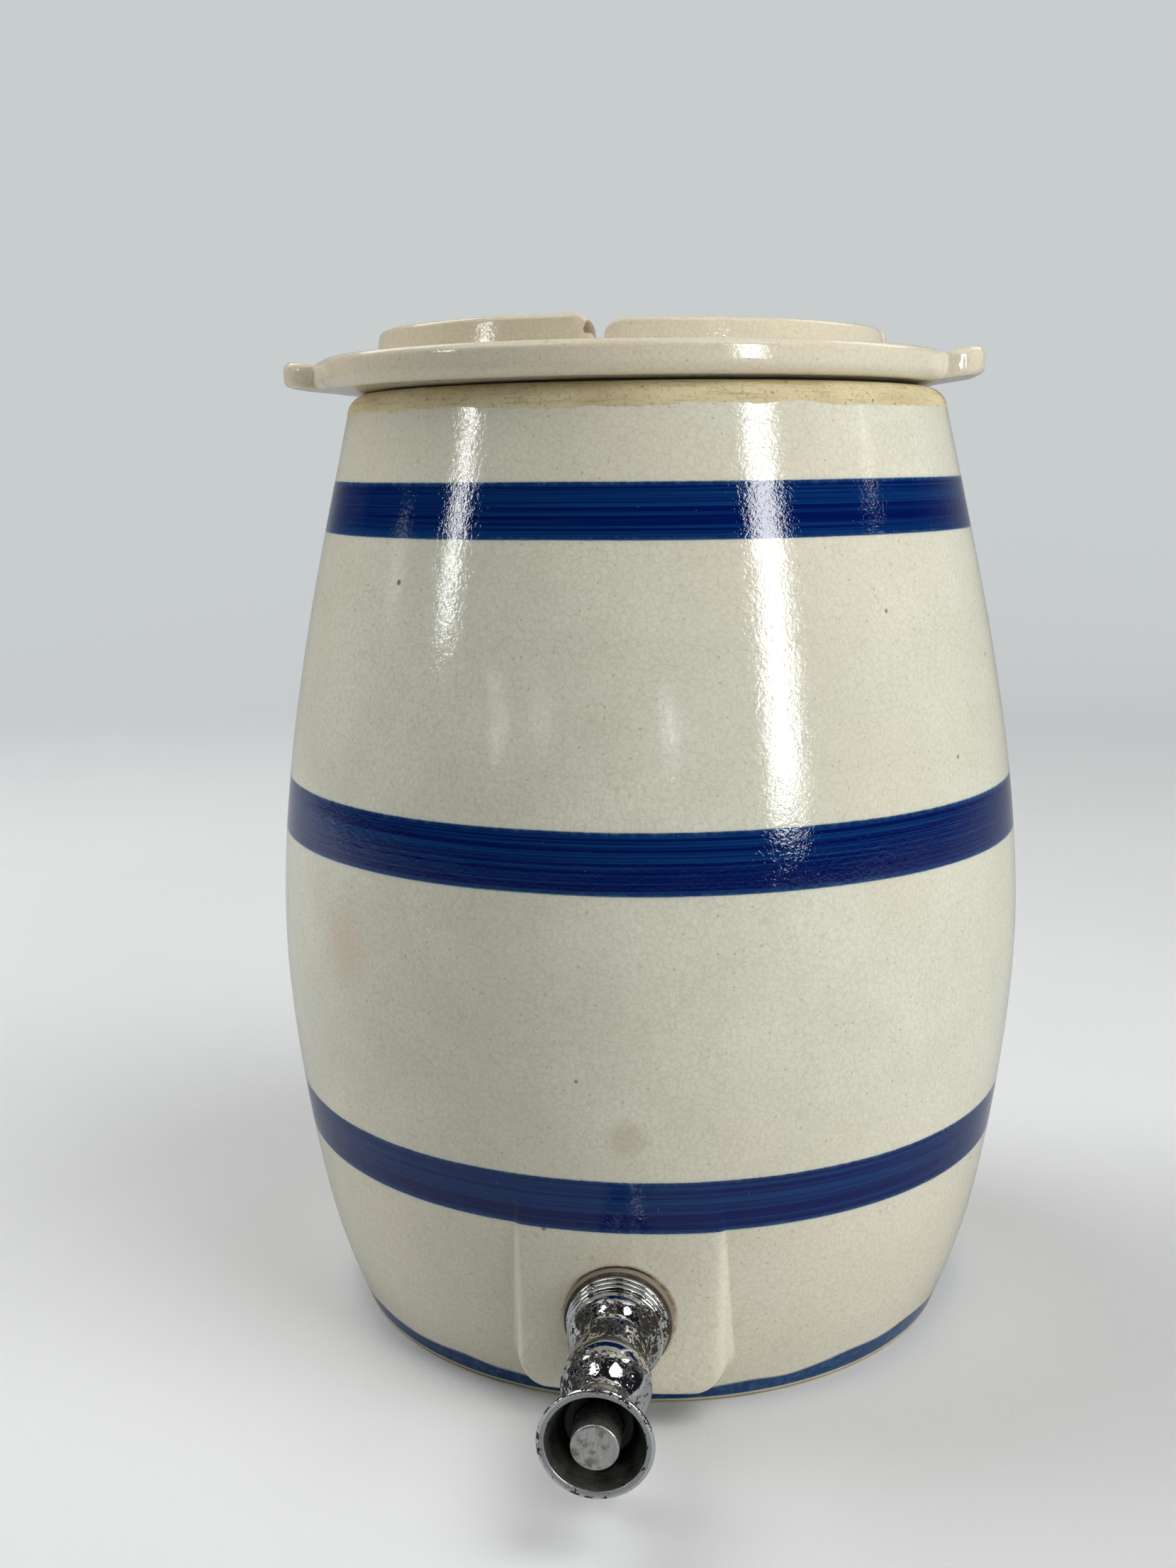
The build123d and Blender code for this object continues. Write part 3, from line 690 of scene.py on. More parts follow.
def aged_rubber():
    """Dusty dark rubber, bleached at the washer's outer edge."""
    rubber = Finish("aged_rubber")
    dust = rubber.noise(260.0, 4.0, 0.65)
    grain = rubber.noise(1900.0, 2.0, 0.6)
    tone = rubber.mix(rubber.fade(dust, 0.45, 0.75), rubber.looks.rubber, (0.145, 0.115, 0.090))
    tone = rubber.mix(rubber.fade(grain, 0.6, 0.8, 0.0, 0.4), tone, (0.02, 0.015, 0.012))
    bleached = rubber.fade(rubber.about_tap()[0], 0.0151, 0.0155, 0.0, 0.75)
    tone = rubber.mix(bleached, tone, (0.235, 0.190, 0.135))
    relief = rubber.sum((grain, 0.6), (dust, 1.0))
    return rubber.set(Base_Color=tone, Normal=rubber.bump(relief, 0.00006),
                      Roughness=rubber.fade(dust, 0.3, 0.8, 0.55, 0.85))


def turned_brass():
    """Plain brass with fine lathe lines round the tap's axis, and darker tarnish."""
    brass = Finish("turned_brass")
    lines = brass.noise(3200.0, vector=brass.about_tap()[1])
    tarnish = brass.noise(180.0, 4.0, 0.65)
    tone = brass.mix(brass.fade(lines, 0.35, 0.65), brass.looks.brass, (0.60, 0.45, 0.19))
    tone = brass.mix(brass.fade(tarnish, 0.48, 0.78, 0.0, 0.75), tone, (0.17, 0.115, 0.055))
    return brass.set(Base_Color=tone, Metallic=1.0, Normal=brass.bump(lines, 0.00003),
                     Roughness=brass.fade(tarnish, 0.3, 0.75, 0.22, 0.48))


def spring_wire():
    """Drawn wire with a brown film."""
    wire = Finish("spring_wire")
    drawn = wire.noise(1400.0, 3.0, 0.6)
    film = wire.noise(300.0, 3.0, 0.6)
    tone = wire.mix(wire.fade(film, 0.45, 0.75), (0.52, 0.52, 0.53), (0.27, 0.22, 0.17))
    return wire.set(Base_Color=tone, Metallic=1.0, Normal=wire.bump(drawn, 0.00002),
                    Roughness=wire.fade(film, 0.3, 0.7, 0.22, 0.45))


# ------------------------------------------------------------------ crock
def wall_curves(sizes):
    """Outside and inside radius of the crock as functions of the height."""
    height = cad("crock")[1].z
    foot, belly, rim = 98.9, cad("crock")[1].x, 95.3
    upper = ((123, belly), (165, 119.1), (206, 113.3), (247, 105.1))
    outside = ((0, foot), (20, 106.2), (60, 114.9), *upper, (height - sizes.rim_round / MM, rim))
    wall, floor = sizes.wall / MM, sizes.floor / MM
    inside = ((floor, foot), (42, 112.0), *upper, (height, rim))
    return natural_spline(outside), natural_spline([(z, r - wall) for z, r in inside])


def crock_outline(sizes):
    """Half section from the middle of the crock's base round to the middle of its floor, as
    (radius, height) points, then the outer wall's first and last row and the inner wall's first."""
    height = cad("crock")[1].z
    outside, inside = wall_curves(sizes)
    rounding = sizes.rim_round / MM
    floor = sizes.floor / MM
    rim = height - rounding
    base = [(r, 1.2) for r in (0.0, 30.0, 60.0, 85.0)] + [(88.0, 0.9), (89.5, 0.25)]
    base += [(90.5, 0.0), (94.0, 0.0), (97.6, 0.0), (98.7, 0.3)]
    outer = [1.0, 1.8, 2.6, 3.5, 4.5, 5.5, 6.3]
    outer += spaced(7.0, 20.0, 0.36) + spaced(20.0, 72.0, 1.05) + spaced(72.0, rim, 3.1)
    wall = [(outside(z), z) for z in outer]
    edge = outside(rim)
    lip = arc(edge - rounding, rim, rounding, 0, 90, 9)
    inner_top = inside(height)
    mouth = arc(inner_top + 3.0, height - 3.0, 3.0, 90, 180, 5)
    corner = inside(floor + 10.0)
    inner = [(inside(z), z) for z in spaced(height - 5.0, floor + 10.0, 6.5)]
    turn = arc(corner - 10.0, floor + 10.0, 10.0, 0, -90, 7)
    bed = [(r, floor) for r in (70.0, 50.0, 30.0, 12.0, 0.0)]
    outline = base + wall + lip + mouth + inner + turn + bed
    return outline, len(base), len(base) + len(wall), len(base + wall + lip + mouth)


def rounded_panel(x, z, half_width, bottom, corner):
    """Signed distance from the outline of a panel with rounded lower corners."""
    side = abs(x) - (half_width - corner)
    under = (bottom + corner) - z
    outside = hypot(max(side, 0.0), max(under, 0.0))
    return outside + min(max(side, under), 0.0) - corner


def press_pad(bm, first, last, sizes):
    """Draws the wall out into the raised pad that carries the tap, and lets it wander a little."""
    row = bm.verts.layers.int["row"]
    front, half = sizes.pad_front / MM, sizes.pad_width / MM / 2
    bottom, corner = sizes.pad_bottom / MM, sizes.pad_corner / MM
    curve = 150.0
    slope = 1 / tan(radians(12.0))
    for vert in bm.verts:
        if not first <= vert[row] < last:
            continue
        x, y, z = vert.co / MM
        radius = hypot(x, y)
        wander = noise.noise(Vector((x, y, z * 1.3)) * 0.021)
        wander += 0.4 * noise.noise(Vector((x, y, z)) * 0.06)
        fade_in = smooth_step(z, 0.0, 12.0) * (1 - smooth_step(z, 275.0, 288.0))
        drop = sizes.wobble / MM * (0.5 + 0.5 * wander) * fade_in
        x, y = x * (radius - drop) / radius, y * (radius - drop) / radius
        if y < 0 and abs(x) < 46 and z < 92:
            away = rounded_panel(x, z, half, bottom, corner)
            fall = 0.5 * slope * (away + 0.25 + sqrt((away + 0.25) ** 2 + 1.1))
            sag = curve - sqrt(curve * curve - x * x)
            uneven = 0.25 * noise.noise(Vector((x * 0.05, 3.1, z * 0.05)))
            y = -smooth_max(-y, front - sag - fall + uneven, 3.4)
        vert.co = Vector((x, y, z)) * MM


def tap_cylinder(start, end, radius):
    """Plain plug along the tap's axis, to cut with."""
    outline = [(start, 0.0), (start, radius), (end, radius), (end, 0.0)]
    return tap_lathe(outline, steps=96)


class COOLER_OT_crock(Operator):
    """Throw the glazed crock with its raised pad"""
    bl_idname = "cooler.crock"
    bl_label = "Crock"

    def execute(self, context):
        sizes = context.scene.cooler_crock
        outline, first, last, inner = crock_outline(sizes)
        start = radians(-111.0)
        points = [(r * cos(start) * MM, r * sin(start) * MM, z * MM) for r, z in outline]
        sweeps = [(2.5, 5), (7.0, 46), (23.0, 28), (7.0, 46), (2.5, 5), (318.0, 159)]
        bm = lathe(points, (0, 0, 0), (0, 0, 1), sweeps)
        row = bm.verts.layers.int["row"]
        press_pad(bm, first, last, sizes)
        for face in bm.faces:
            rows = [vert[row] for vert in face.verts]
            face.material_index = 2 if max(rows) < first else (1 if min(rows) >= inner - 4 else 0)
        seat = -cad("outer_gasket")[1].y
        inner_seat = -cad("inner_washer")[0].y
        tools = [("DIFFERENCE", tap_cylinder(seat, seat + 30, 16.4)),
                 ("DIFFERENCE", tap_cylinder(inner_seat - 24, inner_seat, 14.2)),
                 ("DIFFERENCE", tap_cylinder(inner_seat - 24, seat + 30, 8.8))]
        cut = carve(mesh_of(bm, "blank"), tools)
        add_piece(cut, "glazed_crock", "pot", "crock",
                  [painted_glaze(), inside_glaze(), bare_base()], 42.0)
        return {"FINISHED"}


# ------------------------------------------------------------------ lid
GAPS = (-91.5, -8.0, 88.0, 180.0)
ARC_HEIGHTS = (0.85, 0.90, 0.95, 1.0)   # of the arcs after each gap, turning left
EDGE_ROWS = 36
EDGE_DROP, EDGE_RISE = 1.2, 0.6           # the disc turns up a little towards its edge


def resampled(chain, count):
    """The same chain as evenly spaced points."""
    points = np.array(chain, float)
    lengths = np.concatenate([[0.0], np.cumsum(np.hypot(*np.diff(points, axis=0).T))])
    places = np.linspace(0.0, lengths[-1], count)
    return list(zip(*(np.interp(places, lengths, column) for column in points.T)))


def disc_edge(radius, thickness):
    low, high = 4.2, 2.4
    chain = arc(radius - low, low + EDGE_DROP, low, -90, 0, 24)
    chain += arc(radius - high, thickness + EDGE_RISE - high, high, 0, 90, 16)
    return resampled(chain, EDGE_ROWS)


def ear_edge(reach, radius, thickness, lift):
    """Section through an ear: it leaves the disc a little low and lifts towards its tip."""
    def under(r):
        inset = max(r - (radius - 4.2), 0.0)
        disc = EDGE_DROP + 4.2 - sqrt(max(4.2 ** 2 - inset ** 2, 0.0)) if r < radius else 9.0
        ear = 1.0 + (r - (radius - 6.0)) * (1.9 + 0.5 * lift) / 16.6
        return max(smooth_min(disc, ear, 0.5), 0.0)

    def over(r):
        inset = max(r - (radius - 2.4), 0.0)
        top = thickness + EDGE_RISE - 2.4
        disc = top + sqrt(max(2.4 ** 2 - inset ** 2, 0.0)) if inset < 2.4 else 0.0
        ear = thickness - 1.4 + (r - (radius - 2.0)) * (2.4 + lift) / 12.6
        return smooth_max(disc, ear, 0.9)
    rounding = 2.4
    last = reach - rounding
    chain = [(r, under(r)) for r in spaced(radius - 4.2, last, 0.25)]
    low, high = under(last), over(last)
    chain += arc(last, low + rounding, rounding, -90, 0, 10)
    chain += arc(last, high - rounding, rounding, 0, 90, 10)
    chain += [(r, over(r)) for r in spaced(last, radius - 2.4, 0.25)][1:]
    chain.append((radius - 2.4, thickness + EDGE_RISE))
    return resampled(chain, EDGE_ROWS)


def ear_reach(turn, radius, tip, half_width, corner=12.0):
    """Outline of disc and ear at a direction, measured from the ear's middle line."""
    if abs(turn) > 0.5:
        return radius
    past = abs(turn) * radius - half_width
    flank = radius + 1.7 * (1 - smooth_step(past, -1.0, 7.0))
    best = radius
    for step in range(240):
        r = tip + 3.0 - step * (tip + 3.0 - radius) / 239
        x, y = r * cos(turn), abs(r * sin(turn))
        side, out = y - (half_width - corner), x - (tip - corner)
        inside = hypot(max(side, 0.0), max(out, 0.0)) + min(max(side, out), 0.0) - corner
        if inside <= 0:
            best = r
            break
    return flank if best <= flank - 1.2 else smooth_max(best, flank, 1.2)


def column_angles():
    """Directions of the lid's columns: close together at the gaps and at the ears' sides."""
    marks = set(round(a, 4) for a in spaced(-180.0, 180.0, 2.4))
    for gap in GAPS:
        near = [0.0, 0.5, 0.9] + [0.98 + 0.045 * i for i in range(7)]
        near += [1.34, 1.45, 1.6, 1.8] + [2.1 + 0.35 * i for i in range(12)]
        marks |= {round(gap + side * a, 4) for a in near for side in (-1, 1)}
    for ear in (0.0, 180.0):
        near = spaced(0.0, 8.0, 1.6) + spaced(8.0, 13.5, 0.35) + spaced(13.5, 17.0, 0.12)
        marks |= {round(ear + side * a, 4) for a in near for side in (-1, 1)}
    turned = sorted({round((a + 180.0) % 360.0 - 180.0, 4) for a in marks})
    kept = [turned[0]]
    for angle in turned[1:]:
        if angle - kept[-1] > 0.03:
            kept.append(angle)
    return kept


def lid_outline(sizes, ring_height):
    """Half section from the middle of the underside to the middle of the top, the first row of
    the edge, and the rows of the raised ring."""
    radius, thickness = sizes.radius / MM, sizes.thickness / MM
    outer = sizes.ring_radius / MM
    inner = outer - sizes.ring_width / MM
    under = [(r, 0.0) for r in (0.0, 20.0, 40.0, 60.0, 75.0, 84.0)] + [(88.0, 0.25), (92.0, 0.75)]
    edge = disc_edge(radius, thickness)
    top = thickness + ring_height
    flat = [(95.0, thickness + 0.5), (92.0, thickness + 0.3), (88.5, thickness + 0.1),
            (85.5, thickness)]
    ring = softened([(84.0, thickness, 0), (outer, thickness, 1.4), (outer - 1.2, top, 1.9),
                     (inner + 1.2, top, 1.9), (inner, thickness, 1.4),
                     (inner - 2.5, thickness, 0)], 5)
    middle = [(r, thickness) for r in (66.0, 60.0, 48.0, 34.0, 18.0, 0.0)]
    outline = under + edge + flat + ring + middle
    first_ring = len(under + edge + flat)
    return outline, len(under), (first_ring, first_ring + len(ring))


def gap_share(x, y, ring_height, gap, flare):
    """Height that is left of the ring at a place, as a share, beside its four gaps."""
    share_left = 1.0
    for angle in GAPS:
        across = abs(-x * sin(radians(angle)) + y * cos(radians(angle)))
        along = x * cos(radians(angle)) + y * sin(radians(angle))
        if along < 0 or across > gap / 2 + flare:
            continue
        past = across - gap / 2
        if past <= 0:
            return 0.0
        rise = ring_height - flare + flare * sqrt(max(1 - (1 - past / flare) ** 2, 0.0))
        share_left = min(share_left, rise / ring_height * smooth_step(past, 0.0, 0.16))
    return share_left


def arc_share(angle):
    """Height of the arc in this direction, as a share of the highest one."""
    starts = [gap % 360 for gap in GAPS]
    best = max(range(4), key=lambda i: -((angle - starts[i]) % 360))
    return ARC_HEIGHTS[best]


class COOLER_OT_lid(Operator):
    """Throw the lid with its ears and its raised ring in four arcs"""
    bl_idname = "cooler.lid"
    bl_label = "Lid"

    def execute(self, context):
        sizes = context.scene.cooler_lid
        low, high = cad("lid")
        x0, y0, z0 = (low.x + high.x) / 2, (low.y + high.y) / 2, low.z
        tip = (high.x - low.x) / 2
        radius, thickness = sizes.radius / MM, sizes.thickness / MM
        ring_height = high.z - low.z - thickness
        outline, first_edge, (ring_start, ring_end) = lid_outline(sizes, ring_height)
        angles = column_angles()
        start = radians(angles[0])
        points = [(r * cos(start) * MM, r * sin(start) * MM, z * MM) for r, z in outline]
        sweeps = [(b - a, 1) for a, b in zip(angles, angles[1:] + [angles[0] + 360.0])]
        bm = lathe(points, (0, 0, 0), (0, 0, 1), sweeps)
        row = bm.verts.layers.int["row"]
        plain = disc_edge(radius, thickness)
        ear_sections = {}
        for vert in bm.verts:
            index = vert[row]
            x, y, z = vert.co / MM
            turn = atan2(y, x)
            r = hypot(x, y)
            if first_edge <= index < first_edge + EDGE_ROWS:
                key = round(degrees(turn), 2)
                if key not in ear_sections:
                    ear_sections[key] = self.edge_at(turn, radius, thickness, tip, sizes, plain)
                r, z = ear_sections[key][index - first_edge]
            elif ring_start <= index < ring_end and z > thickness:
                share_left = gap_share(x, y, ring_height, sizes.gap / MM, sizes.gap_flare / MM)
                share_left *= arc_share(degrees(turn))
                share_left *= 1.0 - 0.02 * (0.5 + 0.5 * noise.noise(Vector((x, y, 5.0)) * 0.035))
                z = thickness + (z - thickness) * share_left
            wander = 0.5 + 0.5 * noise.noise(Vector((x, y, z * 2)) * 0.03)
            if r > 1.0:
                r -= 0.2 * wander * smooth_step(r, 60.0, 95.0)
            if z > 1.0:
                sink = 0.14 * (0.5 + 0.5 * noise.noise(Vector((y, x, z)) * 0.025))
                z -= sink * smooth_step(z, 1.0, 6.0)
            vert.co = Vector((x0 + r * cos(turn), y0 + r * sin(turn), z0 + z)) * MM
        material = lid_glaze(x0, y0, z0 + thickness, radians(GAPS[0]))
        add_piece(bm, "glazed_lid", "lid", "lid", [material], 50.0)
        return {"FINISHED"}

    def edge_at(self, turn, radius, thickness, tip, sizes, plain):
        right = abs(turn) < pi / 2
        local = turn if right else (turn - pi if turn > 0 else turn + pi)
        reach = ear_reach(local, radius, tip, sizes.ear_width / MM / 2)
        if reach <= radius + 0.01:
            return plain
        lift = 1.4 if right else -0.2
        weight = smooth_step(reach - radius, 0.0, 1.8)
        ear = ear_edge(max(reach, radius + 1.2), radius, thickness, lift)
        return [(a + (c - a) * weight, b + (d - b) * weight) for (a, b), (c, d) in zip(plain, ear)]


# ------------------------------------------------------------------ tap
def body_outline(sizes):
    """Section of the tap body: collar rings, two bulbs, and the bores inside, as a closed chain."""
    shank_end, body_end = -cad("tap_body")[1].y, -cad("tap_body")[0].y
    back = -cad("outer_gasket")[0].y
    collar, bulb = sizes.collar_radius / MM, sizes.bulb_radius / MM
    neck_radius, barrel = sizes.neck_radius / MM, sizes.barrel_radius / MM
    rings_end = back + 6.8
    neck = rings_end + 18.2
    thread = [(shank_end, 5.2, 0), (shank_end, 7.2, 0), (shank_end + 0.8, 8.0, 0.1)]
    for i in range(7):
        station = shank_end + 1.3 + 1.4 * i
        thread += [(station, 8.0, 0), (station + 0.5, 7.35, 0), (station + 0.7, 7.35, 0),
                   (station + 1.2, 8.0, 0)]
    rings = [(back, 8.0, 0), (back, collar, 0.35)]
    station, radius = back, collar
    for width in (2.4, 1.6, 1.6):
        station += width
        rings += [(station, radius, 0.45), (station + 0.04, radius - 0.85, 0.1)]
        station += 0.36
        radius -= 0.35
        rings += [(station, radius - 0.5, 0.1), (station + 0.04, radius, 0.45)]
    rings[-1] = (rings_end, bulb - 0.45, 0)
    curve = natural_spline([(rings_end, bulb - 0.45), (rings_end + 2.2, bulb),
                            (rings_end + 4.4, bulb - 0.45), (rings_end + 6.6, bulb - 1.55),
                            (rings_end + 8.6, bulb - 2.75), (rings_end + 11.0, neck_radius + 0.65),
                            (neck - 4.0, neck_radius + 0.15), (neck, neck_radius),
                            (neck + 2.4, neck_radius + 0.85), (neck + 4.6, barrel - 0.95),
                            (neck + 7.0, barrel - 0.12), (neck + 9.0, barrel),
                            (neck + 12.0, barrel - 0.4), (neck + 14.6, barrel - 1.3),
                            (neck + 17.0, barrel - 2.75), (neck + 18.4, 8.55), (neck + 19.8, 8.0)])
    outline = softened(thread + rings)
    outline += traced(curve, rings_end, neck + 19.8, 0.45)[1:]
    outline += [(neck + 19.8, 8.0), (body_end, 7.9)]
    seat = neck + 1.5
    outline += [(body_end, 7.4), (body_end - 8.0, 7.4), (body_end - 8.0, 7.0), (seat + 2.0, 7.0),
                (seat + 2.0, 4.0), (seat, 4.0), (seat, 5.2)]
    return outline, neck


class COOLER_OT_tap_body(Operator):
    """Turn the chromed tap body with its spout"""
    bl_idname = "cooler.tap_body"
    bl_label = "Tap body"

    def execute(self, context):
        sizes = context.scene.cooler_tap
        outline, neck = body_outline(sizes)
        bm = tap_lathe(outline, closed=True)
        z0 = tap_height()
        low = cad("tap_body")[0].z
        y0 = -(neck + 8.5)
        spout = sizes.spout_radius / MM
        corners = [(0.0, low, 0), (spout + 0.5, low, 0.5), (spout + 0.5, low + 2.2, 0.7),
                   (spout, low + 3.0, 0.6), (spout + 1.1, z0 - 8.8, 0), (0.0, z0 - 8.8, 0)]
        blank = upright_lathe(softened(corners, 5), y0)
        corners = [(0.0, low - 2), (4.3, low - 2), (4.3, z0 - 5.0), (0.0, z0 - 5.0)]
        bore = upright_lathe(corners, y0)
        cut = carve(mesh_of(bm, "blank"), [("UNION", blank), ("DIFFERENCE", bore)])
        add_piece(cut, "chromed_tap", "pot", "tap_body",
                  [pitted_chrome("tap_plate", context.scene.cooler_finish.pitting,
                                 worst=(0.1236, 0.129, 0.042))], 34.0)
        return {"FINISHED"}


class COOLER_OT_bell_cap(Operator):
    """Turn the flared bell cap"""
    bl_idname = "cooler.bell_cap"
    bl_label = "Bell cap"

    def execute(self, context):
        start, rim = -cad("bonnet_gasket")[0].y, -cad("bell_cap")[0].y
        plug_start = -cad("bell_cap")[1].y
        radius = (cad("bell_cap")[1].x - cad("bell_cap")[0].x) / 2
        floor = rim - 9.6
        pocket = -cad("return_spring")[1].y - 0.08
        button = context.scene.cooler_tap.button_radius / MM + 0.1
        flare = natural_spline([(start, 7.9), (start + 2.2, 8.3), (start + 5.3, 9.75),
                                (start + 10.0, 12.4), (rim - 1.0, radius - 0.12)])
        outer = traced(flare, start, rim - 1.0, 0.5)
        outer += softened([(rim - 1.0, radius - 0.12, 0), (rim - 0.6, radius, 0.3),
                           (rim - 0.15, radius - 0.3, 0.3), (rim, radius - 0.9, 0.3),
                           (rim, radius - 2.1, 0.35), (rim - 0.8, radius - 2.35, 0)], 4)[1:]
        cup = natural_spline([(floor, 8.8), (rim - 4.8, radius - 3.7), (rim - 0.8, radius - 2.35)])
        inner = list(reversed(traced(cup, floor, rim - 0.8, 0.5)))
        bores = softened([(floor, 8.8, 0), (floor, button, 0.3), (pocket, button, 0),
                          (pocket, 3.6, 0), (plug_start + 1.5, 3.6, 0), (plug_start + 1.5, 1.7, 0),
                          (plug_start, 1.7, 0), (plug_start, 7.3, 0.5), (start, 7.3, 0)])[1:]
        outline = outer + inner + bores
        bm = tap_lathe(outline, closed=True)
        lip = len(outer) - 7
        row = bm.verts.layers.int["row"]
        last_outer = len(outer)
        for face in bm.faces:
            rows = [vert[row] for vert in face.verts]
            if min(rows) >= last_outer - 1:
                face.material_index = 1
            elif min(rows) >= lip:
                face.material_index = 2
        worn = context.scene.cooler_finish.pitting
        add_piece(bm, "chromed_bell", "pot", "bell_cap",
                  [pitted_chrome("bell_plate", worn * 0.7), cup_metal(),
                   pitted_chrome("bell_rim", worn * 0.15, 0.30, dulled=0.75)], 34.0)
        return {"FINISHED"}


class COOLER_OT_push_button(Operator):
    """Turn the push button"""
    bl_idname = "cooler.push_button"
    bl_label = "Push button"

    def execute(self, context):
        back, face = -cad("push_button")[1].y, -cad("push_button")[0].y
        radius = context.scene.cooler_tap.button_radius / MM
        ceiling = face - 2.3
        corners = [(back, radius - 0.9, 0), (back, radius, 0.2), (face - 0.2, radius, 0.55),
                   (face, radius - 0.7, 0.5), (face - 0.03, 2.0, 0), (face - 0.03, 0.0, 0),
                   (ceiling, 0.0, 0), (ceiling, 1.6, 0), (ceiling - 4.5, 1.6, 0),
                   (ceiling - 4.5, 2.7, 0.2), (ceiling, 2.7, 0), (ceiling, radius - 0.9, 0.3)]
        outline = softened(corners)
        bm = tap_lathe(outline, closed=True, steps=96)
        add_piece(bm, "turned_button", "button", "push_button", [button_metal()], 34.0)
        return {"FINISHED"}


class COOLER_OT_gasket(Operator):
    """Cut the rubber washer behind the tap and the thin one behind the bell cap"""
    bl_idname = "cooler.gasket"
    bl_label = "Washers"

    def execute(self, context):
        start, end = -cad("bonnet_gasket")[1].y, -cad("bonnet_gasket")[0].y
        corners = [(start, 7.35, 0), (start, 7.85, 0.1), (end, 7.85, 0.1), (end, 7.35, 0)]
        thin = tap_lathe(softened(corners), closed=True, steps=96)
        add_piece(thin, "thin_washer", "pot", "bonnet_gasket", [aged_rubber()], 40.0)
        start, end = -cad("outer_gasket")[1].y, -cad("outer_gasket")[0].y
        radius = (cad("outer_gasket")[1].x - cad("outer_gasket")[0].x) / 2
        corners = [(start, 8.1, 0), (start, radius - 0.1, 0.3), ((start + end) / 2, radius, 1.2),
                   (end, radius - 0.25, 0.5), (end, 8.1, 0)]
        bm = tap_lathe(softened(corners, 5), closed=True, steps=128)
        add_piece(bm, "rubber_washer", "pot", "outer_gasket", [aged_rubber()], 40.0)
        return {"FINISHED"}


class COOLER_OT_spring(Operator):
    """Wind the return spring"""
    bl_idname = "cooler.spring"
    bl_label = "Return spring"

    def execute(self, context):
        low, high = cad("return_spring")
        turns = context.scene.cooler_tap.turns
        wire = 0.4
        middle = (high.x - low.x) / 2 - wire
        run = (high.y - low.y) - 2 * wire
        z0 = tap_height()
        bm = bmesh.new()
        ring = bmesh.ops.create_circle(bm, cap_ends=True, radius=wire * MM, segments=10)["verts"]
        place = Matrix.Translation(Vector((middle, high.y - wire, z0)) * MM)
        bmesh.ops.transform(bm, matrix=place, verts=ring)
        steps = 26 * turns
        geometry = bm.verts[:] + bm.edges[:] + bm.faces[:]
        bmesh.ops.spin(bm, geom=geometry, cent=(0, 0, z0 * MM), axis=(0, -1, 0),
                       dvec=(0, -run / steps * MM, 0), angle=2 * pi * turns, steps=steps,
                       use_merge=False, use_normal_flip=False, use_duplicate=False)
        spring = add_piece(bm, "wound_spring", "pot", "return_spring",
                           [spring_wire()], 60.0)
        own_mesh(spring)
        return {"FINISHED"}


class COOLER_OT_fittings(Operator):
    """Finish the washers, nuts and valve parts that sit inside"""
    bl_idname = "cooler.fittings"
    bl_label = "Inner fittings"

    def execute(self, context):
        finishes = {"rubber": aged_rubber(), "brass": turned_brass()}
        slots = {part["node"]: part["material_slot"] for part in frame["record"]["subparts"]}
        for name, node in frame["nodes"].items():
            if node.hide_render or slots[name] not in finishes:
                continue
            node.data.materials.clear()
            node.data.materials.append(finishes[slots[name]])
        return {"FINISHED"}


# ------------------------------------------------------------------ stage
LAMPS = (
    # name, azimuth from the front towards the right, elevation, distance, width, height,
    # strength, lights matt surfaces or shows in the gloss
    ("high_right", 60.0, 57.0, 2.2, 1.4, 1.4, 29.5, "matt"),
    ("low_right", 62.0, 12.0, 1.8, 0.9, 0.8, 15.5, "matt"),
    ("high_left", -108.0, 57.0, 2.2, 1.4, 1.4, 29.5, "matt"),
    ("low_left", -100.0, 12.0, 1.8, 0.9, 0.8, 11.0, "matt"),
    ("strip_right", 45.5, 15.5, 2.0, 0.30, 0.95, 23.0, "gloss"),
    ("strip_left", -63.0, 20.2, 2.0, 0.14, 0.44, 5.2, "gloss"),
    ("glint_right", 89.5, 20.3, 2.0, 0.035, 0.09, 0.20, "gloss"),
    ("glint_left", -87.0, 13.3, 2.0, 0.025, 0.22, 0.20, "gloss"),
    ("dot_left", -41.6, 10.2, 2.0, 0.028, 0.028, 0.45, "gloss"),
    ("dot_middle", -28.1, 11.2, 2.0, 0.028, 0.028, 0.30, "gloss"),
    ("dot_right", 11.2, 11.6, 2.0, 0.028, 0.028, 0.50, "gloss"),
    ("ceiling_left", -54.0, 55.0, 2.0, 1.25, 1.15, 9.5, "gloss"),
    ("ceiling_right", 52.0, 57.0, 2.0, 1.15, 1.15, 9.0, "gloss"),
    ("side_left", -130.0, 44.0, 2.0, 0.80, 0.80, 5.0, "gloss"),
    ("side_right", 128.0, 42.0, 2.0, 0.80, 0.80, 5.0, "gloss"),
)


def hang_lamp(name, azimuth, elevation, distance, width, height, strength, role):
    lamp = bpy.data.lights.new(name, "AREA")
    lamp.shape, lamp.size, lamp.size_y, lamp.energy = "RECTANGLE", width, height, strength
    middle = Vector((0, 0, 0.17))
    side, up = radians(azimuth), radians(elevation)
    away = Vector((sin(side) * cos(up), -cos(side) * cos(up), sin(up)))
    holder = bpy.data.objects.new(name, lamp)
    bpy.context.scene.collection.objects.link(holder)
    holder.location = middle + away * distance
    holder.rotation_euler = away.to_track_quat("Z", "Y").to_euler()
    holder.visible_camera = False
    holder.visible_glossy = role == "gloss"
    holder.visible_diffuse = role == "matt"


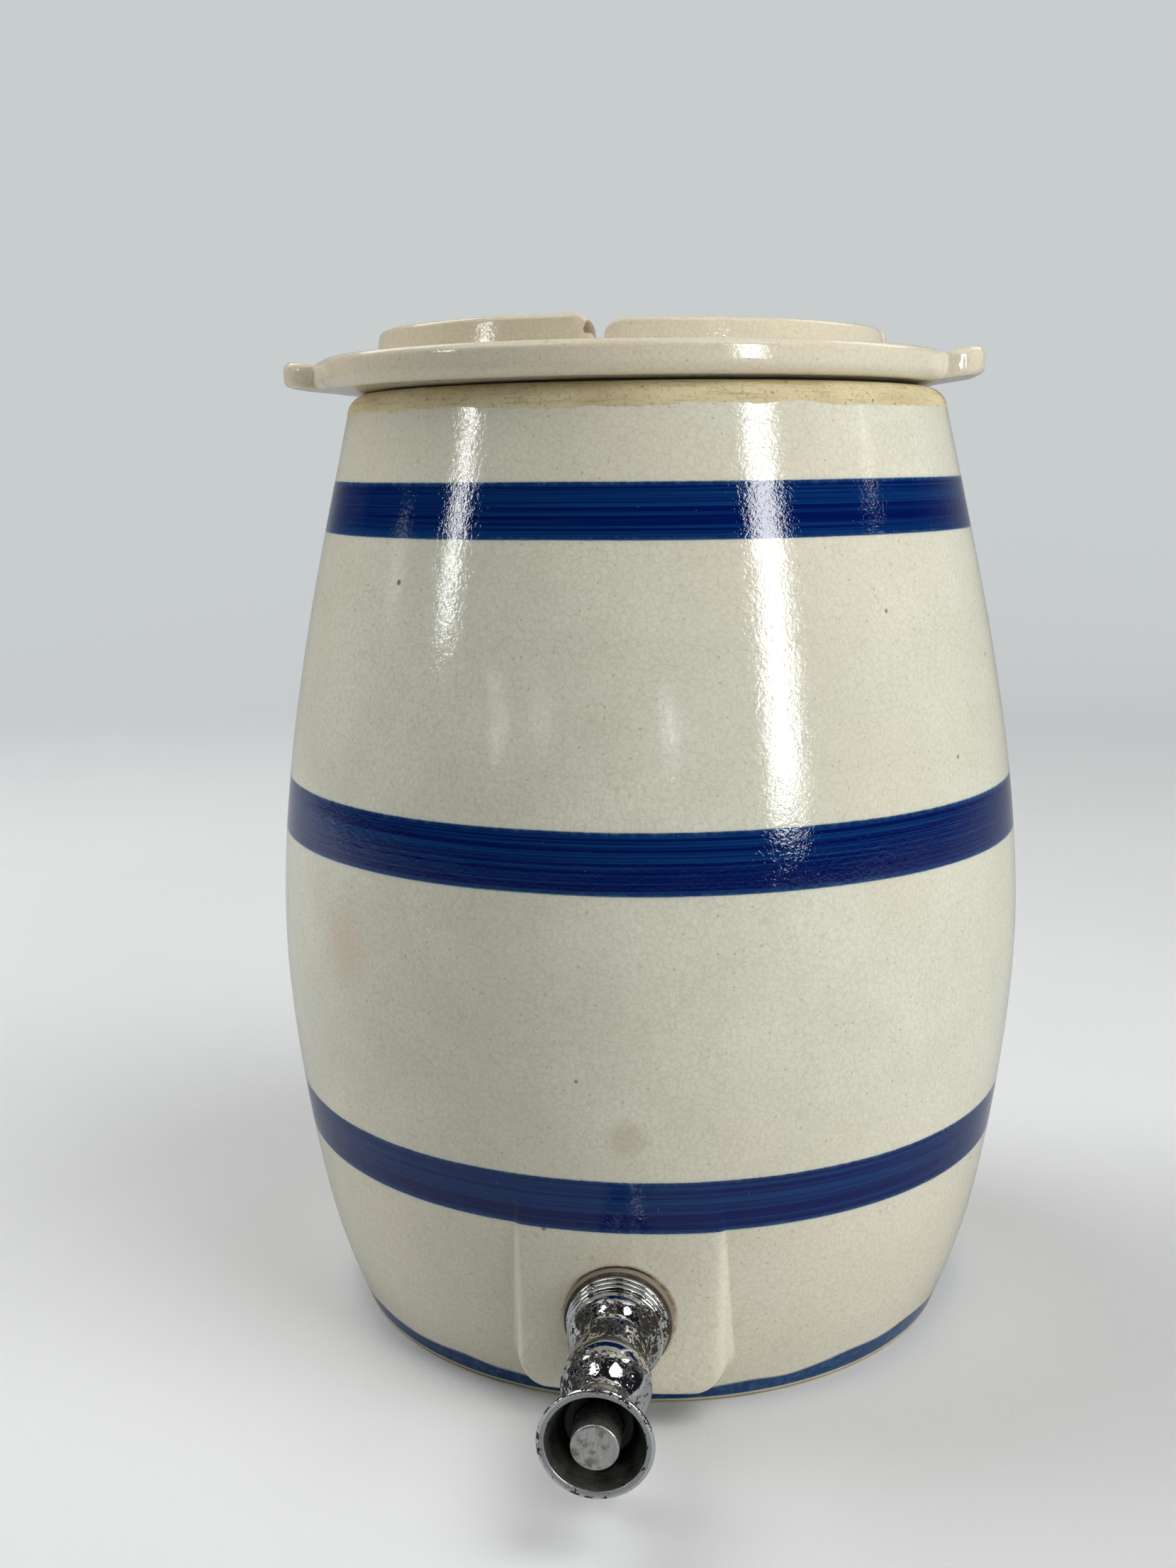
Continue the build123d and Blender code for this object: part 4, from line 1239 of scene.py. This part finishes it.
def floor_sweep(settings):
    """Pale cloth that runs up behind the cooler in one wide curve."""
    bm = bmesh.new()
    chain = [(-4.0, 0.0), (-1.5, 0.0), (0.0, 0.0), (1.3, 0.0)]
    chain += [(1.3 + a, b) for a, b in arc(0.0, 0.9, 0.9, -90, 0, 24)][1:] + [(2.2, 3.2)]
    verts = [bm.verts.new((-5.0, y, z)) for y, z in chain]
    edges = [bm.edges.new(pair) for pair in zip(verts, verts[1:])]
    made = bmesh.ops.extrude_edge_only(bm, edges=edges)
    moved = [item for item in made["geom"] if isinstance(item, bmesh.types.BMVert)]
    bmesh.ops.translate(bm, verts=moved, vec=(10.0, 0, 0))
    mesh = mesh_of(bm, "floor")
    mesh.polygons.foreach_set("use_smooth", [True] * len(mesh.polygons))
    cloth = Finish("pale_cloth")
    fold = cloth.noise(3.0, 3.0, 0.5)
    weave = cloth.noise(900.0, 2.0, 0.6)
    tone = cloth.mix(cloth.fade(fold, 0.3, 0.7), [v * 0.97 for v in settings.floor], settings.floor)
    risen = cloth.fade(cloth.apart(cloth.place)[2], 0.02, 1.1)
    tone = cloth.mix(risen, tone, settings.wall)
    # Painted reflection: glossy rays see the cloth darker and teal, as painted shade on the cloth
    # near the crock.
    mirrored = cloth.new("LightPath").outputs["Is Glossy Ray"]
    tone = cloth.mix(cloth.times(mirrored, 0.45), tone, (0.02, 0.045, 0.055))
    relief = cloth.sum((fold, 6.0), (weave, 0.5))
    cloth.set(Base_Color=tone, Roughness=0.85, Normal=cloth.bump(relief, 0.0003))
    cloth.fade_out(settings.backdrop, 0.7, 2.0)
    mesh.materials.append(cloth.material)
    floor = bpy.data.objects.new("floor", mesh)
    bpy.context.scene.collection.objects.link(floor)


def room_light(settings):
    """World: pale behind and above, dim in front; the camera sees an even pale tone."""
    world = bpy.data.worlds.new("studio")
    bpy.context.scene.world = world
    world.use_nodes = True
    studio = Graph(world.node_tree)
    y, z = studio.apart(studio.new("TexCoord").outputs["Generated"])[1:]
    behind = studio.fade(y, -0.5, 0.7, 0.16, 0.55)
    above = studio.fade(z, 0.25, 0.95, 0.0, 0.35)
    tone = studio.times(studio.math("ADD", behind, above), settings.daylight)
    ray = studio.new("LightPath").outputs
    tone = studio.mix(ray["Is Glossy Ray"], tone, settings.room)
    tone = studio.mix(ray["Is Camera Ray"], tone, settings.backdrop)
    studio.feed(studio.nodes["Background"].inputs["Color"], tone)


class COOLER_OT_stage(Operator):
    """Set the floor, the lamps, the room light and the camera"""
    bl_idname = "cooler.stage"
    bl_label = "Stage"

    def execute(self, context):
        settings = context.scene.cooler_stage
        floor_sweep(settings)
        room_light(settings)
        for lamp in LAMPS:
            hang_lamp(*lamp)
        lens = bpy.data.cameras.new("camera")
        lens.lens, lens.sensor_width = settings.lens, 36.0
        lens.clip_start, lens.clip_end = 0.01, 50.0
        camera = bpy.data.objects.new("camera", lens)
        context.scene.collection.objects.link(camera)
        place, aim = Vector(settings.camera_place), Vector(settings.aim)
        straight = (aim - place).to_track_quat("-Z", "Y")
        camera.location = place
        camera.rotation_euler = (straight @ Quaternion((0, 0, 1), settings.roll)).to_euler()
        context.scene.camera = camera
        context.scene.view_settings.view_transform = "Standard"
        return {"FINISHED"}


# ------------------------------------------------------------------ panel and run
class COOLER_PT_panel(Panel):
    """Lists the cooler's pieces"""
    bl_idname = "COOLER_PT_panel"
    bl_label = "Water cooler"
    bl_space_type = "VIEW_3D"
    bl_region_type = "UI"
    bl_category = "Cooler"

    def draw(self, context):
        for name, group in SETTINGS:
            box = self.layout.box()
            box.label(text=group.__doc__)
            for key in group.__annotations__:
                box.prop(getattr(context.scene, name), key)
        for operator in OPERATORS:
            self.layout.operator(operator.bl_idname)


SETTINGS = (("cooler_crock", CrockSettings), ("cooler_lid", LidSettings),
            ("cooler_tap", TapSettings), ("cooler_finish", FinishSettings),
            ("cooler_stage", StageSettings))
OPERATORS = (COOLER_OT_crock, COOLER_OT_lid, COOLER_OT_tap_body,
             COOLER_OT_bell_cap, COOLER_OT_push_button, COOLER_OT_gasket, COOLER_OT_spring,
             COOLER_OT_fittings, COOLER_OT_stage)


def register():
    for name, group in SETTINGS:
        bpy.utils.register_class(group)
        setattr(bpy.types.Scene, name, PointerProperty(type=group))
    for item in (*OPERATORS, COOLER_PT_panel):
        bpy.utils.register_class(item)


def unregister():
    for item in reversed((*OPERATORS, COOLER_PT_panel)):
        bpy.utils.unregister_class(item)
    for name, group in reversed(SETTINGS):
        delattr(bpy.types.Scene, name)
        bpy.utils.unregister_class(group)


def main():
    register()
    for operator in OPERATORS:
        group, action = operator.bl_idname.split(".")
        getattr(getattr(bpy.ops, group), action)()


if __name__ == "__main__":
    main()
